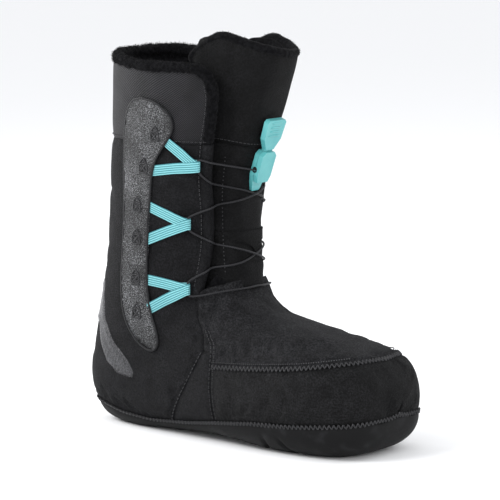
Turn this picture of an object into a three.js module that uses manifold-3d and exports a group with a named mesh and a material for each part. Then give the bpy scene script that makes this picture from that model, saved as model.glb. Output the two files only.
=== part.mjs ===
// Snowboard boot liner, right foot, with a lace harness.
// Millimetres. +X points to the toe, +Z up, -Y is the outer (lateral) side.
// The origin is on the ground under the middle of the overall length and width.
import * as THREE from 'three';
import { mergeVertices } from 'three/addons/utils/BufferGeometryUtils.js';
import Module from 'manifold-3d';

const wasm = await Module();
wasm.setup();

// ---------------------------------------------------------------- dimensions

const GAP = 0.3;

// The form below is drawn from the ankle; this is the middle of its length.
const FORM_MIDDLE = 4.5;

// Wall build-up, measured inward from the outer surface of the boot.
const SKIN = 1.2;
const FOAM_OUT = SKIN + GAP;
const FOAM_IN = 5.5;
const LINING_OUT = FOAM_IN + GAP;
const LINING_IN = 7.0;
const WALL = LINING_IN + GAP;

const RINGS = 21;
const SIDES = 16;

const RIM_HEIGHT = 271;
const ROLL_RADIUS = 5.6;
const BINDING_RADIUS = 4.9;

const HINGE = { x: 2, z: 116 };
const HINGE_RADIUS = 7;

const LACE_RADIUS = 0.9;
const LACE_DEPTH = -2.5;
const SLEEVE_RADIUS = 1.9;
const SLEEVE_LENGTH = 7.5;
const WEBBING_WIDTH = 8;

// Rings of the boot form from the toe, round the heel, up to the rim.
// low is the sole or back point and high the instep or front point, both [x, z];
// half is the half width and lean moves the ring toward the big toe.
const STATIONS = [
  { low: [137, 30], high: [137, 48], half: 13, lean: 8 },
  { low: [135, 16], high: [132, 62], half: 30, lean: 7 },
  { low: [126, 5], high: [120, 73], half: 41.5, lean: 5 },
  { low: [106, -1], high: [102, 80], half: 48, lean: 3 },
  { low: [80, -2], high: [79, 86], half: 50, lean: 1 },
  { low: [50, -1.5], high: [51, 92], half: 49, lean: 0 },
  { low: [20, 1], high: [32, 98], half: 46, lean: -1 },
  { low: [-12, 2], high: [20, 108], half: 43, lean: -1 },
  { low: [-48, 0], high: [15, 121], half: 41, lean: 0 },
  { low: [-87, -2], high: [13, 135], half: 39.5, lean: 0 },
  { low: [-118, 5], high: [13, 148], half: 39.5, lean: 0 },
  { low: [-130, 30], high: [14, 161], half: 40, lean: 0 },
  { low: [-125, 64], high: [16, 176], half: 41, lean: 0 },
  { low: [-117.5, 98], high: [19, 193], half: 42, lean: 0 },
  { low: [-112, 133], high: [24, 211], half: 43.5, lean: 0 },
  { low: [-109, 168], high: [30, 230], half: 45.5, lean: 0 },
  { low: [-107, 203], high: [36, 248], half: 47.5, lean: 0 },
  { low: [-105.5, 240], high: [40, 262], half: 48.5, lean: 0 },
  { low: [-105, 276], high: [42, 276], half: 49, lean: 0 },
];

// Side-view lines, [x, z].
const SOLE_SEAM = [
  [-150, 17], [-109, 16], [-85, 11], [-56, 9], [-20, 12], [15, 17],
  [47, 21], [83, 23], [108, 25], [130, 27], [150, 31],
];
const SOLE_TOP = [
  [-150, 11], [-118, 9], [-60, 7.5], [0, 9], [60, 7], [95, 8], [118, 13], [136, 22], [150, 29],
];
const VAMP_SEAM = [[9, 57], [46, 60], [85, 64], [118, 68.5], [150, 71]];
const FRONT_EDGE = [
  [-1, 78], [-8, 89], [-11, 101], [-10.5, 112], [-8, 127], [-5.5, 145], [-4, 165],
  [-3, 190], [1, 216],
];
const CUFF_EDGE = [[1, 216], [5.5, 235], [8, 250], [6.5, 262], [0, 269], [-8, RIM_HEIGHT]];
const CUFF_SEAM = [[-160, 215], [1, 216], [40, 216.2]];
const THROAT = [[30, 122], [-9.8, 108]];
const GUSSET = [[-34, 9], [-13, 45], [0.4, 67], [8.7, 66], [8.7, 40], [11.7, 14]];

// ------------------------------------------------------------- small helpers

function smooth(from, to, value) {
  return THREE.MathUtils.smoothstep(value, from, to);
}

function spline(values, u) {
  const last = values.length - 1;
  const i = Math.min(Math.max(Math.floor(u), 0), last - 1);
  const t = u - i;
  const b = values[i];
  const c = values[i + 1];
  const a = i > 0 ? values[i - 1] : 2 * b - c;
  const d = i + 2 <= last ? values[i + 2] : 2 * c - b;
  return 0.5 * (2 * b + (c - a) * t + (2 * a - 5 * b + 4 * c - d) * t * t
    + (3 * b - a - 3 * c + d) * t * t * t);
}

function signedPower(value, power) {
  return Math.sign(value) * Math.abs(value) ** power;
}

function polyline(points, count) {
  const curve = new THREE.SplineCurve(points.map(([x, z]) => new THREE.Vector2(x, z)));
  return curve.getSpacedPoints(count).map((p) => [p.x, p.y]);
}

function shifted(points, dx, dz) {
  return points.map(([x, z]) => [x + dx, z + dz]);
}

function lineHeight(points, x) {
  let k = 1;
  while (k < points.length - 1 && points[k][0] < x) k += 1;
  const [x0, z0] = points[k - 1];
  const [x1, z1] = points[k];
  return z0 + ((z1 - z0) * (x - x0)) / (x1 - x0);
}

// ----------------------------------------------------------------- boot form

const LAST = STATIONS.length - 1;
const COLUMNS = {
  lowX: STATIONS.map((s) => s.low[0]),
  lowZ: STATIONS.map((s) => s.low[1]),
  highX: STATIONS.map((s) => s.high[0]),
  highZ: STATIONS.map((s) => s.high[1]),
  half: STATIONS.map((s) => s.half),
  lean: STATIONS.map((s) => s.lean),
};

// A rail point moved inward, square to the rail, by the depth.
function railPoint(xs, zs, u, depth, turn) {
  const before = Math.max(u - 0.01, 0);
  const after = Math.min(u + 0.01, LAST);
  const dx = spline(xs, after) - spline(xs, before);
  const dz = spline(zs, after) - spline(zs, before);
  const length = Math.hypot(dx, dz);
  return [
    spline(xs, u) + (turn * dz * depth) / length,
    spline(zs, u) - (turn * dx * depth) / length,
  ];
}

function ring(u, depth) {
  const leg = smooth(7, 12, u);
  const toe = 1 - smooth(1.5, 6, u);
  return {
    low: railPoint(COLUMNS.lowX, COLUMNS.lowZ, u, depth, 1),
    high: railPoint(COLUMNS.highX, COLUMNS.highZ, u, depth, -1),
    half: spline(COLUMNS.half, u) - depth,
    lean: spline(COLUMNS.lean, u),
    middle: 0.4 + 0.1 * leg,
    lowPower: 3.2 - leg,
    highPower: (2.5 + 0.6 * toe) * (1 - leg) + 2.2 * leg,
  };
}

// Angle 0 is the high point and PI the low one; the first half turn is the +Y side.
function formPoint(u, angle, depth) {
  const r = ring(u, depth);
  const power = 2 / (Math.cos(angle) < 0 ? r.lowPower : r.highPower);
  const along = signedPower(Math.cos(angle), power);
  const across = signedPower(Math.sin(angle), power);
  const f = r.middle + along * (along < 0 ? r.middle : 1 - r.middle);
  return new THREE.Vector3(
    r.low[0] + (r.high[0] - r.low[0]) * f,
    r.lean + r.half * across,
    r.low[1] + (r.high[1] - r.low[1]) * f,
  );
}

// The point of the form at a side-view position; side is -1 for -Y and 1 for +Y.
function sidePoint(x, z, depth, side) {
  const offLine = (u) => {
    const { low, high } = ring(u, depth);
    return (high[0] - low[0]) * (z - low[1]) - (high[1] - low[1]) * (x - low[0]);
  };
  let lower = 0.5;
  let upper = LAST;
  const startSign = Math.sign(offLine(lower));
  for (let k = 0; k < 40; k += 1) {
    const mid = (lower + upper) / 2;
    if (Math.sign(offLine(mid)) === startSign) lower = mid;
    else upper = mid;
  }
  const r = ring(lower, depth);
  const length2 = (r.high[0] - r.low[0]) ** 2 + (r.high[1] - r.low[1]) ** 2;
  const f = ((x - r.low[0]) * (r.high[0] - r.low[0])
    + (z - r.low[1]) * (r.high[1] - r.low[1])) / length2;
  const along = Math.min(Math.abs(f - r.middle) / (f < r.middle ? r.middle : 1 - r.middle), 1);
  const power = f < r.middle ? r.lowPower : r.highPower;
  const across = (1 - along ** power) ** (1 / power);
  return new THREE.Vector3(x, r.lean + side * r.half * across, z);
}

// The point of the form at a ring angle and a height on the leg.
function legPoint(angle, z, depth) {
  let lower = 9;
  let upper = LAST;
  for (let k = 0; k < 40; k += 1) {
    const mid = (lower + upper) / 2;
    if (formPoint(mid, angle, depth).z < z) lower = mid;
    else upper = mid;
  }
  return formPoint(lower, angle, depth);
}

// ------------------------------------------------------------ solids and cuts

function solidOf(geometry) {
  geometry.deleteAttribute('normal');
  geometry.deleteAttribute('uv');
  const merged = mergeVertices(geometry, 1e-4);
  return new wasm.Manifold(new wasm.Mesh({
    numProp: 3,
    vertProperties: new Float32Array(merged.attributes.position.array),
    triVerts: new Uint32Array(merged.index.array),
  }));
}

// Rings of points, every one in the same order, closed by a fan at each end.
function loftSolid(rings) {
  const count = rings[0].length;
  const points = rings.flat();
  const faces = [];
  for (let i = 0; i + 1 < rings.length; i += 1) {
    for (let j = 0; j < count; j += 1) {
      const a = i * count + j;
      const b = i * count + ((j + 1) % count);
      faces.push(a, b, b + count, a, b + count, a + count);
    }
  }
  [0, rings.length - 1].forEach((i) => {
    const centre = new THREE.Vector3();
    rings[i].forEach((p) => centre.addScaledVector(p, 1 / count));
    points.push(centre);
    for (let j = 0; j < count; j += 1) {
      const a = i * count + j;
      const b = i * count + ((j + 1) % count);
      if (i === 0) faces.push(points.length - 1, b, a);
      else faces.push(points.length - 1, a, b);
    }
  });
  let volume = 0;
  for (let k = 0; k < faces.length; k += 3) {
    const [a, b, c] = [points[faces[k]], points[faces[k + 1]], points[faces[k + 2]]];
    volume += a.dot(new THREE.Vector3().crossVectors(b, c)) / 6;
  }
  if (volume < 0) faces.reverse();
  const geometry = new THREE.BufferGeometry();
  geometry.setAttribute('position', new THREE.Float32BufferAttribute(
    points.flatMap((p) => [p.x, p.y, p.z]), 3));
  geometry.setIndex(faces);
  return solidOf(geometry);
}

function formSolid(depth) {
  const rings = [];
  for (let i = 0; i < RINGS; i += 1) {
    const u = (LAST * i) / (RINGS - 1);
    const points = [];
    for (let j = 0; j < SIDES; j += 1) {
      points.push(formPoint(u, ((j + 0.5) * 2 * Math.PI) / SIDES, depth));
    }
    rings.push(points);
  }
  return loftSolid(rings);
}

function layer(outer, inner) {
  return formSolid(outer).subtract(formSolid(inner));
}

// A side-view outline carried straight across the boot from one y to another.
function prism(outline, fromY = -80, toY = 80) {
  const shape = new THREE.Shape(outline.map(([x, z]) => new THREE.Vector2(x, z)));
  const geometry = new THREE.ExtrudeGeometry(shape, { depth: toY - fromY, bevelEnabled: false });
  geometry.rotateX(Math.PI / 2);
  geometry.translate(0, toY, 0);
  return solidOf(geometry);
}

function sidePrism(outline, side) {
  return side < 0 ? prism(outline, -80, -GAP / 2) : prism(outline, GAP / 2, 80);
}

function aboveLine(line, rise) {
  return prism([...shifted(line, 0, rise), [150, 400], [-150, 400]]);
}

function belowLine(line, rise) {
  return prism([...shifted(line, 0, rise), [150, -40], [-150, -40]]);
}

function disc(x, z, radius, count = 20) {
  const points = [];
  for (let k = 0; k < count; k += 1) {
    const angle = (k * 2 * Math.PI) / count;
    points.push([x + radius * Math.cos(angle), z + radius * Math.sin(angle)]);
  }
  return prism(points);
}

// A round rod along a path of points, with flat ends.
function rod(path, radius, sides = 8) {
  const rings = [];
  let normal = null;
  path.forEach((point, k) => {
    const before = path[Math.max(k - 1, 0)];
    const after = path[Math.min(k + 1, path.length - 1)];
    const tangent = after.clone().sub(before).normalize();
    if (!normal) {
      normal = Math.abs(tangent.z) < 0.9 ? new THREE.Vector3(0, 0, 1) : new THREE.Vector3(1, 0, 0);
    }
    normal = normal.clone().addScaledVector(tangent, -normal.dot(tangent)).normalize();
    const side = new THREE.Vector3().crossVectors(tangent, normal);
    const points = [];
    for (let j = 0; j < sides; j += 1) {
      const angle = (j * 2 * Math.PI) / sides;
      points.push(point.clone()
        .addScaledVector(normal, radius * Math.cos(angle))
        .addScaledVector(side, radius * Math.sin(angle)));
    }
    rings.push(points);
  });
  return loftSolid(rings);
}

// The path with each inner corner rounded off.
function rounded(path, radius, steps = 2) {
  const out = [path[0]];
  for (let k = 1; k + 1 < path.length; k += 1) {
    const corner = path[k];
    const turn = corner.clone().sub(path[k - 1]).angleTo(path[k + 1].clone().sub(corner));
    if (turn < 0.45) {
      out.push(corner);
      continue;
    }
    const reach = Math.min(radius, corner.distanceTo(path[k - 1]) / 2.2,
      corner.distanceTo(path[k + 1]) / 2.2);
    const start = corner.clone().addScaledVector(
      path[k - 1].clone().sub(corner).normalize(), reach);
    const end = corner.clone().addScaledVector(
      path[k + 1].clone().sub(corner).normalize(), reach);
    const bend = new THREE.QuadraticBezierCurve3(start, corner, end);
    out.push(...bend.getPoints(steps));
  }
  out.push(path[path.length - 1]);
  return out;
}

function union(solids) {
  return solids.reduce((sum, solid) => sum.add(solid));
}

const liner = new THREE.Group();

// Adds a solid to the liner as one named mesh, without any sliver a cut left beside it.
function place(name, solid, colour, roughness) {
  const pieces = solid.decompose().sort((a, b) => b.volume() - a.volume());
  const cut = pieces[0].getMesh();
  const geometry = new THREE.BufferGeometry();
  geometry.setAttribute('position', new THREE.Float32BufferAttribute(cut.vertProperties, 3));
  geometry.setIndex(new THREE.Uint32BufferAttribute(cut.triVerts, 1));
  geometry.computeVertexNormals();
  const material = new THREE.MeshStandardMaterial({ color: colour, roughness, metalness: 0 });
  const mesh = new THREE.Mesh(geometry, material);
  mesh.name = name;
  liner.add(mesh);
}

const COLOUR = {
  foam: 0x4a4a4c,
  fabric: 0x37373b,
  mesh: 0x343338,
  patch: 0x545557,
  rand: 0x272729,
  sole: 0x232325,
  fleece: 0x1c1c1e,
  tongue: 0x18181a,
  film: 0x5a5a5e,
  board: 0x8b8678,
  webbing: 0x7fc9cf,
  lock: 0x74c0bb,
  lace: 0x46464a,
};

// -------------------------------------------------------------- shared shapes

// Everything the boot wall may fill: below the rim and behind the front opening.
function wallOutline(grow) {
  return [
    [-160, -30], [160, -30], [160, 122],
    ...shifted(THROAT, 0, grow),
    ...shifted(FRONT_EDGE.slice(3), grow, 0),
    ...shifted(CUFF_EDGE, grow, grow),
    [-160, RIM_HEIGHT + grow],
  ];
}

const wallArea = prism(wallOutline(0)).subtract(disc(HINGE.x, HINGE.z, HINGE_RADIUS + 0.6));
const grownWall = layer(-GAP, WALL).intersect(prism(wallOutline(GAP)));
const skin = layer(0, SKIN).intersect(wallArea).intersect(aboveLine(SOLE_SEAM, GAP));

// --------------------------------------------------------------- sole and bed

const soleCup = formSolid(SKIN).intersect(aboveLine(SOLE_TOP, 0));
const ground = prism([[-160, 0], [160, 0], [160, 60], [-160, 60]]);
let outsole = formSolid(0).subtract(soleCup).intersect(belowLine(SOLE_SEAM, 0)).intersect(ground);
// Slanted flex grooves across the bottom.
[[42, 18], [92, -24]].forEach(([x, slant]) => {
  const groove = new THREE.BoxGeometry(2.4, 130, 7);
  groove.rotateZ(THREE.MathUtils.degToRad(slant));
  groove.translate(x, 0, 0);
  outsole = outsole.subtract(solidOf(groove));
});
place('outsole', outsole, COLOUR.sole, 0.75);

place('sole_board', formSolid(FOAM_OUT).intersect(aboveLine(SOLE_TOP, GAP))
  .intersect(belowLine(SOLE_TOP, 2.1)), COLOUR.board, 0.8);

const bedArea = formSolid(LINING_IN + 0.6).intersect(aboveLine(SOLE_TOP, 4.2));
place('footbed', bedArea.intersect(belowLine(SOLE_TOP, 9.2)), COLOUR.foam, 0.9);

// ----------------------------------------------------- foam, lining, inserts

const COUNTER = [[-150, 14], [-96, 20], [-78, 26], [-82, 44], [-92, 70], [-104, 92], [-150, 96]];
const ANKLE_PAD = [
  [-74, 34], [-50, 42], [-38, 62], [-40, 92], [-52, 112], [-62, 112], [-57, 92],
  [-56, 72], [-62, 58], [-76, 50],
];

const counterPocket = formSolid(3.6).intersect(prism(shifted(COUNTER, 0, 0)));
let foam = layer(FOAM_OUT, FOAM_IN).intersect(wallArea).intersect(aboveLine(SOLE_TOP, 2.4));
foam = foam.subtract(counterPocket);
[-1, 1].forEach((side) => {
  foam = foam.subtract(formSolid(2.6).intersect(sidePrism(ANKLE_PAD, side)));
});
place('foam_shell', foam, COLOUR.foam, 0.9);

const innerWall = wallArea.intersect(aboveLine(SOLE_TOP, 2.4));
const lining = formSolid(LINING_OUT).intersect(innerWall)
  .subtract(formSolid(LINING_IN).intersect(aboveLine(SOLE_TOP, 3.9)));
place('lining', lining, COLOUR.fleece, 0.95);

// The outline moved inward by an amount all round; its points run clockwise or back.
function inset(outline, amount) {
  const shape = outline.map(([x, z]) => new THREE.Vector2(x, z));
  const turn = Math.sign(THREE.ShapeUtils.area(shape));
  return shape.map((point, k) => {
    const before = shape[(k + shape.length - 1) % shape.length];
    const after = shape[(k + 1) % shape.length];
    const inFrom = point.clone().sub(before).normalize();
    const inTo = after.clone().sub(point).normalize();
    const along = inFrom.clone().add(inTo).normalize();
    const square = Math.max(along.dot(inTo), 0.4);
    return [
      point.x - (turn * along.y * amount) / square,
      point.y + (turn * along.x * amount) / square,
    ];
  });
}

place('heel_counter', layer(3.9, 5.2).intersect(prism(inset(COUNTER, 0.5))), 0x2a2a30, 0.5);
[['lateral', -1], ['medial', 1]].forEach(([label, side]) => {
  place(`ankle_pad_${label}`, layer(2.9, 5.5).intersect(sidePrism(inset(ANKLE_PAD, 0.5), side)),
    COLOUR.foam, 0.9);
});

// ---------------------------------------------------------------- outer skins

const quarterOutline = [
  [-160, -30], [-34.4, -30], [-34.4, 9], [-13.4, 45], [0, 67.3], ...FRONT_EDGE,
  CUFF_SEAM[0],
];
const heelPatch = [
  [-140, 108], [-101, 108], [-97.5, 80], [-84, 63], [-73, 53], [-66, 43], [-70, 40],
  [-84, 42], [-95, 49], [-103, 62], [-108, 76], [-140, 78],
];
const toeArea = [[9, 57], ...VAMP_SEAM.slice(1)];
const randOutline = [
  [9, 57 - GAP], [9, 40], [12, 14], [12, -30], [160, -30], ...shifted(VAMP_SEAM, 0, -GAP).reverse(),
];
const vampOutline = [
  ...toeArea, [150, 140], [-9.8, 140], ...shifted(FRONT_EDGE.slice(0, 4), GAP, 0).reverse(),
  [0.7, 67.3], [9, 66.3],
];

[['lateral', -1], ['medial', 1]].forEach(([label, side]) => {
  place(`quarter_${label}`, skin.intersect(sidePrism(quarterOutline, side)), COLOUR.fabric, 0.9);
  place(`gusset_${label}`, skin.intersect(sidePrism(inset(GUSSET, 0.15), side)),
    COLOUR.fabric, 0.85);
});
place('cuff_mesh', skin.intersect(prism([
  ...shifted(CUFF_SEAM, 0, GAP), [40, 300], [-160, 300],
])), COLOUR.mesh, 0.95);
place('toe_rand', skin.intersect(prism(randOutline)), COLOUR.rand, 0.85);
place('vamp', skin.intersect(prism(vampOutline)), COLOUR.fabric, 0.85);
place('heel_overlay', layer(-1.3, -GAP).intersect(prism(heelPatch)), COLOUR.film, 0.35);

// ------------------------------------------------- lace loops, patches, lace

// Each loop's apex and where its two straps leave the patch, [x, z] in side view.
const LOOPS = [
  { name: 'top', apex: [-6.5, 201], upper: [-27, 216], lower: [-39, 196] },
  { name: 'middle', apex: [-17, 158], upper: [-45, 168], lower: [-49, 145] },
  { name: 'bottom', apex: [-19.5, 111], upper: [-52, 114.5], lower: [-52, 93] },
];

const PATCH = polyline([
  [-50, 248], [-36, 245], [-24, 236], [-23, 226], [-29, 217], [-38, 205], [-43, 192], [-46, 173],
  [-50, 144], [-52, 118], [-51, 96], [-46, 80], [-44, 70], [-47, 64], [-55, 64], [-66, 72],
  [-75, 88], [-77, 112], [-75, 141], [-73, 171], [-71, 205], [-68, 230], [-61, 244], [-50, 248],
], 30).slice(1);

function strapOutline([x0, z0], [x1, z1], reach, width) {
  const length = Math.hypot(x1 - x0, z1 - z0);
  const dx = (x1 - x0) / length;
  const dz = (z1 - z0) / length;
  const half = width / 2;
  return [
    [x0 - dz * half, z0 + dx * half], [x0 + dz * half, z0 - dx * half],
    [x1 + dx * reach + dz * half, z1 + dz * reach - dx * half],
    [x1 + dx * reach - dz * half, z1 + dz * reach + dx * half],
  ];
}

// The two straps as one flat V that lies on the wall between two depths.
function straps(loop, side, outer, inner, width) {
  const flat = layer(outer, inner);
  const upper = sidePrism(strapOutline(loop.apex, loop.upper, 7, width), side);
  const lower = sidePrism(strapOutline(loop.apex, loop.lower, 7, width), side);
  return flat.intersect(upper).add(flat.intersect(lower));
}

function sleeveEnds(loop, side, reach) {
  const [x, z] = loop.apex;
  return [1, -1].map((end) => sidePoint(x + 1.5, z + end * reach, LACE_DEPTH, side));
}

// The lace bends round the padded front edge in front of each loop.
function edgeBend(z, side) {
  const row = polyline(FRONT_EDGE, 60).find((p) => p[1] >= z) ?? FRONT_EDGE[FRONT_EDGE.length - 1];
  const edge = sidePoint(row[0], z, 3.5, side);
  return new THREE.Vector3(edge.x + BINDING_RADIUS + 1.6, edge.y + side * 1.8, z);
}

// The tongue's front face and half width up its height.
const TONGUE = [
  { z: 100, front: 13, half: 20.5 },
  { z: 116, front: 9, half: 21.5 },
  { z: 125, front: 6.5, half: 21.3 },
  { z: 134, front: 5, half: 20.5 },
  { z: 150, front: 4.5, half: 20.1 },
  { z: 162, front: 5.7, half: 20.3 },
  { z: 176, front: 9, half: 21.8 },
  { z: 220, front: 24.4, half: 26 },
  { z: 250, front: 34.9, half: 28.5 },
  { z: 298, front: 51.7, half: 31 },
];
const TONGUE_EDGE = -18;

function tongueFront(z) {
  return lineHeight(TONGUE.map((row) => [row.z, row.front]), z);
}

function tongueHalf(z) {
  return lineHeight(TONGUE.map((row) => [row.z, row.half]), z);
}

const LOCK_TILT = Math.atan(0.35);
const lockUp = new THREE.Vector3(Math.sin(LOCK_TILT), 0, Math.cos(LOCK_TILT));
const lockOut = new THREE.Vector3(Math.cos(LOCK_TILT), 0, -Math.sin(LOCK_TILT));
const lockOrigin = new THREE.Vector3(tongueFront(198) + 0.5, 0, 198);

// A point in the lock's own frame: across the boot, up along the tongue, out from it.
function lockPoint(across, up, out) {
  return lockOrigin.clone().addScaledVector(lockUp, up).addScaledVector(lockOut, out)
    .add(new THREE.Vector3(0, across, 0));
}

const LACE_OUT = 3.4;
const CROSSINGS = [177, 134];
const STRAND_GAP = 2.4;

// How far forward the tongue's face reaches at a distance across it.
function tongueFace(y, z) {
  const across = Math.min(Math.abs(y) / tongueHalf(z), 1);
  return TONGUE_EDGE + (tongueFront(z) - TONGUE_EDGE) * (1 - across ** 2.8) ** (1 / 2.8);
}

// Points between two ends of a strand that lies over the face of the tongue.
function overTongue(from, to, lift) {
  const points = [];
  const count = 6;
  for (let k = 1; k < count; k += 1) {
    const p = from.clone().lerp(to, k / count);
    const rise = 1.9 + 0.12 * Math.abs(p.y) + lift * Math.max(1 - Math.abs(p.y) / 16, 0);
    p.x = Math.max(p.x, tongueFace(p.y, p.z) + rise);
    points.push(p);
  }
  return points;
}

// The strand's turn in one loop, from the bend round the front edge to the next one.
function passLoop(index, side, downward) {
  const loop = LOOPS[index];
  const [top, bottom] = sleeveEnds(loop, side, SLEEVE_LENGTH / 2 + 1.2);
  const points = [edgeBend(top.z, side), top, bottom, edgeBend(bottom.z, side)];
  return downward ? points : points.reverse();
}

// Across the instep, lying on the throat of the vamp.
function overInstep() {
  const start = [-12, LOOPS[2].apex[1] - SLEEVE_LENGTH / 2 - 1.2];
  const points = [-1, 1].map((side) => [0, 0.25, 0.45, 0.65, 0.8, 0.92].map((t) => (
    sidePoint(start[0] + (20 - start[0]) * t, start[1] + 6 * t, -1.9, side))));
  return [...points[0], formPoint(7.33, 0, -1.9), ...points[1].reverse()];
}

const strand = [
  passLoop(0, -1, true), passLoop(1, 1, true), passLoop(2, -1, true).slice(0, 3),
  passLoop(2, 1, false).slice(1), passLoop(1, -1, false), passLoop(0, 1, false),
];
const join = (from, to, lift) => overTongue(from[from.length - 1], to[0], lift);
const ports = [-1, 1].map((side) => [lockPoint(side * 9.5, 0, LACE_OUT)]);
const lacePath = [
  lockPoint(-2.6, 19, LACE_OUT),
  lockPoint(-2.6, 3, LACE_OUT),
  ...ports[0], ...join(ports[0], strand[0], 0),
  ...strand[0], ...join(strand[0], strand[1], 0),
  ...strand[1], ...join(strand[1], strand[2], 0),
  ...strand[2], ...overInstep(),
  ...strand[3], ...join(strand[3], strand[4], STRAND_GAP),
  ...strand[4], ...join(strand[4], strand[5], STRAND_GAP),
  ...strand[5], ...join(strand[5], ports[1], 0),
  ...ports[1],
  lockPoint(2.6, 3, LACE_OUT),
  lockPoint(2.6, 19, LACE_OUT),
];
const laceCentre = rounded(lacePath, 2.2);
const lace = rod(laceCentre, LACE_RADIUS, 6);
const laceRoom = rod(laceCentre, LACE_RADIUS + 0.4, 6);

[['lateral', -1], ['medial', 1]].forEach(([label, side]) => {
  let patch = layer(-2.4, -GAP).intersect(sidePrism(PATCH, side));
  LOOPS.forEach((loop) => {
    patch = patch.subtract(straps(loop, side, -2, -0.2, WEBBING_WIDTH + 0.8));
    const sleeve = rod(sleeveEnds(loop, side, SLEEVE_LENGTH / 2), SLEEVE_RADIUS, 6);
    const webbing = straps(loop, side, -1.7, -0.6, WEBBING_WIDTH).add(sleeve)
      .subtract(formSolid(-GAP)).subtract(laceRoom);
    place(`loop_${loop.name}_${label}`, webbing, COLOUR.webbing, 0.7);
  });
  place(`lace_patch_${label}`, patch, COLOUR.patch, 0.8);
});

// ------------------------------------------------------ binding and fur roll

[['lateral', -1], ['medial', 1]].forEach(([label, side]) => {
  const path = polyline(FRONT_EDGE.slice(2), 7).map(([x, z]) => sidePoint(x, z, 3.5, side));
  const strip = layer(-1.5, -GAP).intersect(sidePrism([
    [-4, 74], [1, 79], [-5, 90], [-8, 102], [-7.6, 111], [-13, 111], [-14, 101], [-11, 88],
  ], side));
  const tube = rod(path, BINDING_RADIUS, 8).intersect(prism([
    [-30, 108], [30, 108], [30, 215.6], [-30, 215.4],
  ]));
  place(`edge_binding_${label}`, tube.add(strip).subtract(grownWall).subtract(laceRoom),
    COLOUR.fabric, 0.9);
});

const rollFront = CUFF_EDGE;
const rollSide = (side) => rollFront.map(([x, z]) => sidePoint(x, z + 0.6, 3.5, side));
const rollBack = [];
const rimAngle = 1.15;
for (let k = 0; k <= 10; k += 1) {
  const angle = 2 * Math.PI - rimAngle - ((2 * Math.PI - 2 * rimAngle) * k) / 10;
  rollBack.push(legPoint(angle, RIM_HEIGHT + 0.6, 3.5));
}
const rollPath = [...rollSide(-1), ...rollBack, ...rollSide(1).reverse()];
place('collar_roll', rod(rollPath, ROLL_RADIUS, 8).subtract(grownWall), COLOUR.fleece, 0.95);

// --------------------------------------------------------------------- tongue

// A U-shaped half tube, open to the back, square to the vertical.
function tongueSolid(depth) {
  const rings = [];
  TONGUE.forEach(({ z, front, half }) => {
    const points = [];
    for (let j = 0; j <= 10; j += 1) {
      const angle = Math.PI / 2 - (Math.PI * j) / 10;
      const along = Math.max(signedPower(Math.cos(angle), 2 / 2.8), 0);
      const across = signedPower(Math.sin(angle), 2 / 2.8);
      points.push(new THREE.Vector3(
        TONGUE_EDGE + (front - depth - TONGUE_EDGE) * along, (half - depth) * across, z));
    }
    rings.push(points);
  });
  return loftSolid(rings);
}

function tongueOutline(drop) {
  const points = [[-30, 134]];
  for (let k = 0; k <= 6; k += 1) {
    const angle = THREE.MathUtils.degToRad(-150 + 25 * k);
    points.push([
      HINGE.x + HINGE_RADIUS * Math.cos(angle), HINGE.z + HINGE_RADIUS * Math.sin(angle),
    ]);
  }
  points.push([60, 122], [60, 269 - drop], [12, 287 - drop], [-8, 287 - drop],
    [-14, 283 - drop], [-18 + drop / 3, 272 - drop], [-30, 266 - drop]);
  return points;
}

const tongueArea = prism(tongueOutline(0));
const TONGUE_SEAM = 218;
const upperArea = prism([[-60, TONGUE_SEAM + GAP], [80, TONGUE_SEAM + GAP], [80, 320], [-60, 320]]);
const lowerArea = prism([[-60, 90], [80, 90], [80, TONGUE_SEAM], [-60, TONGUE_SEAM]]);
const keepOff = prism([[TONGUE_EDGE + 0.01, 90], [90, 90], [90, 320], [TONGUE_EDGE + 0.01, 320]]);
const coverLayer = tongueSolid(0).subtract(tongueSolid(1.2)).intersect(tongueArea).intersect(keepOff);
const trimPath = [];
for (let k = 0; k <= 8; k += 1) {
  const angle = Math.PI / 2 - (Math.PI * k) / 8;
  const along = Math.max(signedPower(Math.cos(angle), 2 / 2.8), 0);
  const reach = tongueFront(287) - 3.6 - TONGUE_EDGE;
  const x = TONGUE_EDGE + reach * along;
  const z = x < 12 ? 287 : 287 - (18 / 48) * (x - 12);
  trimPath.push(new THREE.Vector3(
    x, (tongueHalf(287) - 3.6) * signedPower(Math.sin(angle), 2 / 2.8), z));
}
const trimDown = (side) => {
  const top = trimPath[side > 0 ? 0 : trimPath.length - 1];
  return new THREE.Vector3(top.x - 0.5, top.y, 268);
};
const tongueWall = tongueSolid(-GAP).subtract(tongueSolid(7.6)).intersect(prism(tongueOutline(-0.2)));
const trimCentre = rounded([trimDown(1), ...trimPath, trimDown(-1)], 6, 2);
const trim = rod(trimCentre, 5.2, 8).subtract(tongueWall);
const trimRoom = rod(trimCentre, 5.5, 8);

place('tongue_cover_lower', coverLayer.intersect(lowerArea), COLOUR.tongue, 0.9);
place('tongue_cover_upper', coverLayer.intersect(upperArea), COLOUR.tongue, 0.85);
const plateArea = prism([[-6, 150], [60, 150], [60, 262], [-6, 262]], -14, 14);
const platePocket = prism([[-7, 149], [60, 149], [60, 263], [-7, 263]], -15, 15);
place('tongue_foam', tongueSolid(1.5).subtract(tongueSolid(5.8)).intersect(tongueArea)
  .intersect(keepOff).subtract(platePocket.subtract(tongueSolid(2.9))), COLOUR.foam, 0.9);
place('tongue_plate', tongueSolid(1.5).subtract(tongueSolid(2.6)).intersect(plateArea),
  0x2c2c32, 0.4);
place('tongue_lining', tongueSolid(6.1).subtract(tongueSolid(7.3)).intersect(tongueArea)
  .intersect(keepOff), COLOUR.fleece, 0.95);
place('tongue_trim', trim, COLOUR.fleece, 0.95);

// ------------------------------------------------------------------ lace lock

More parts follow.
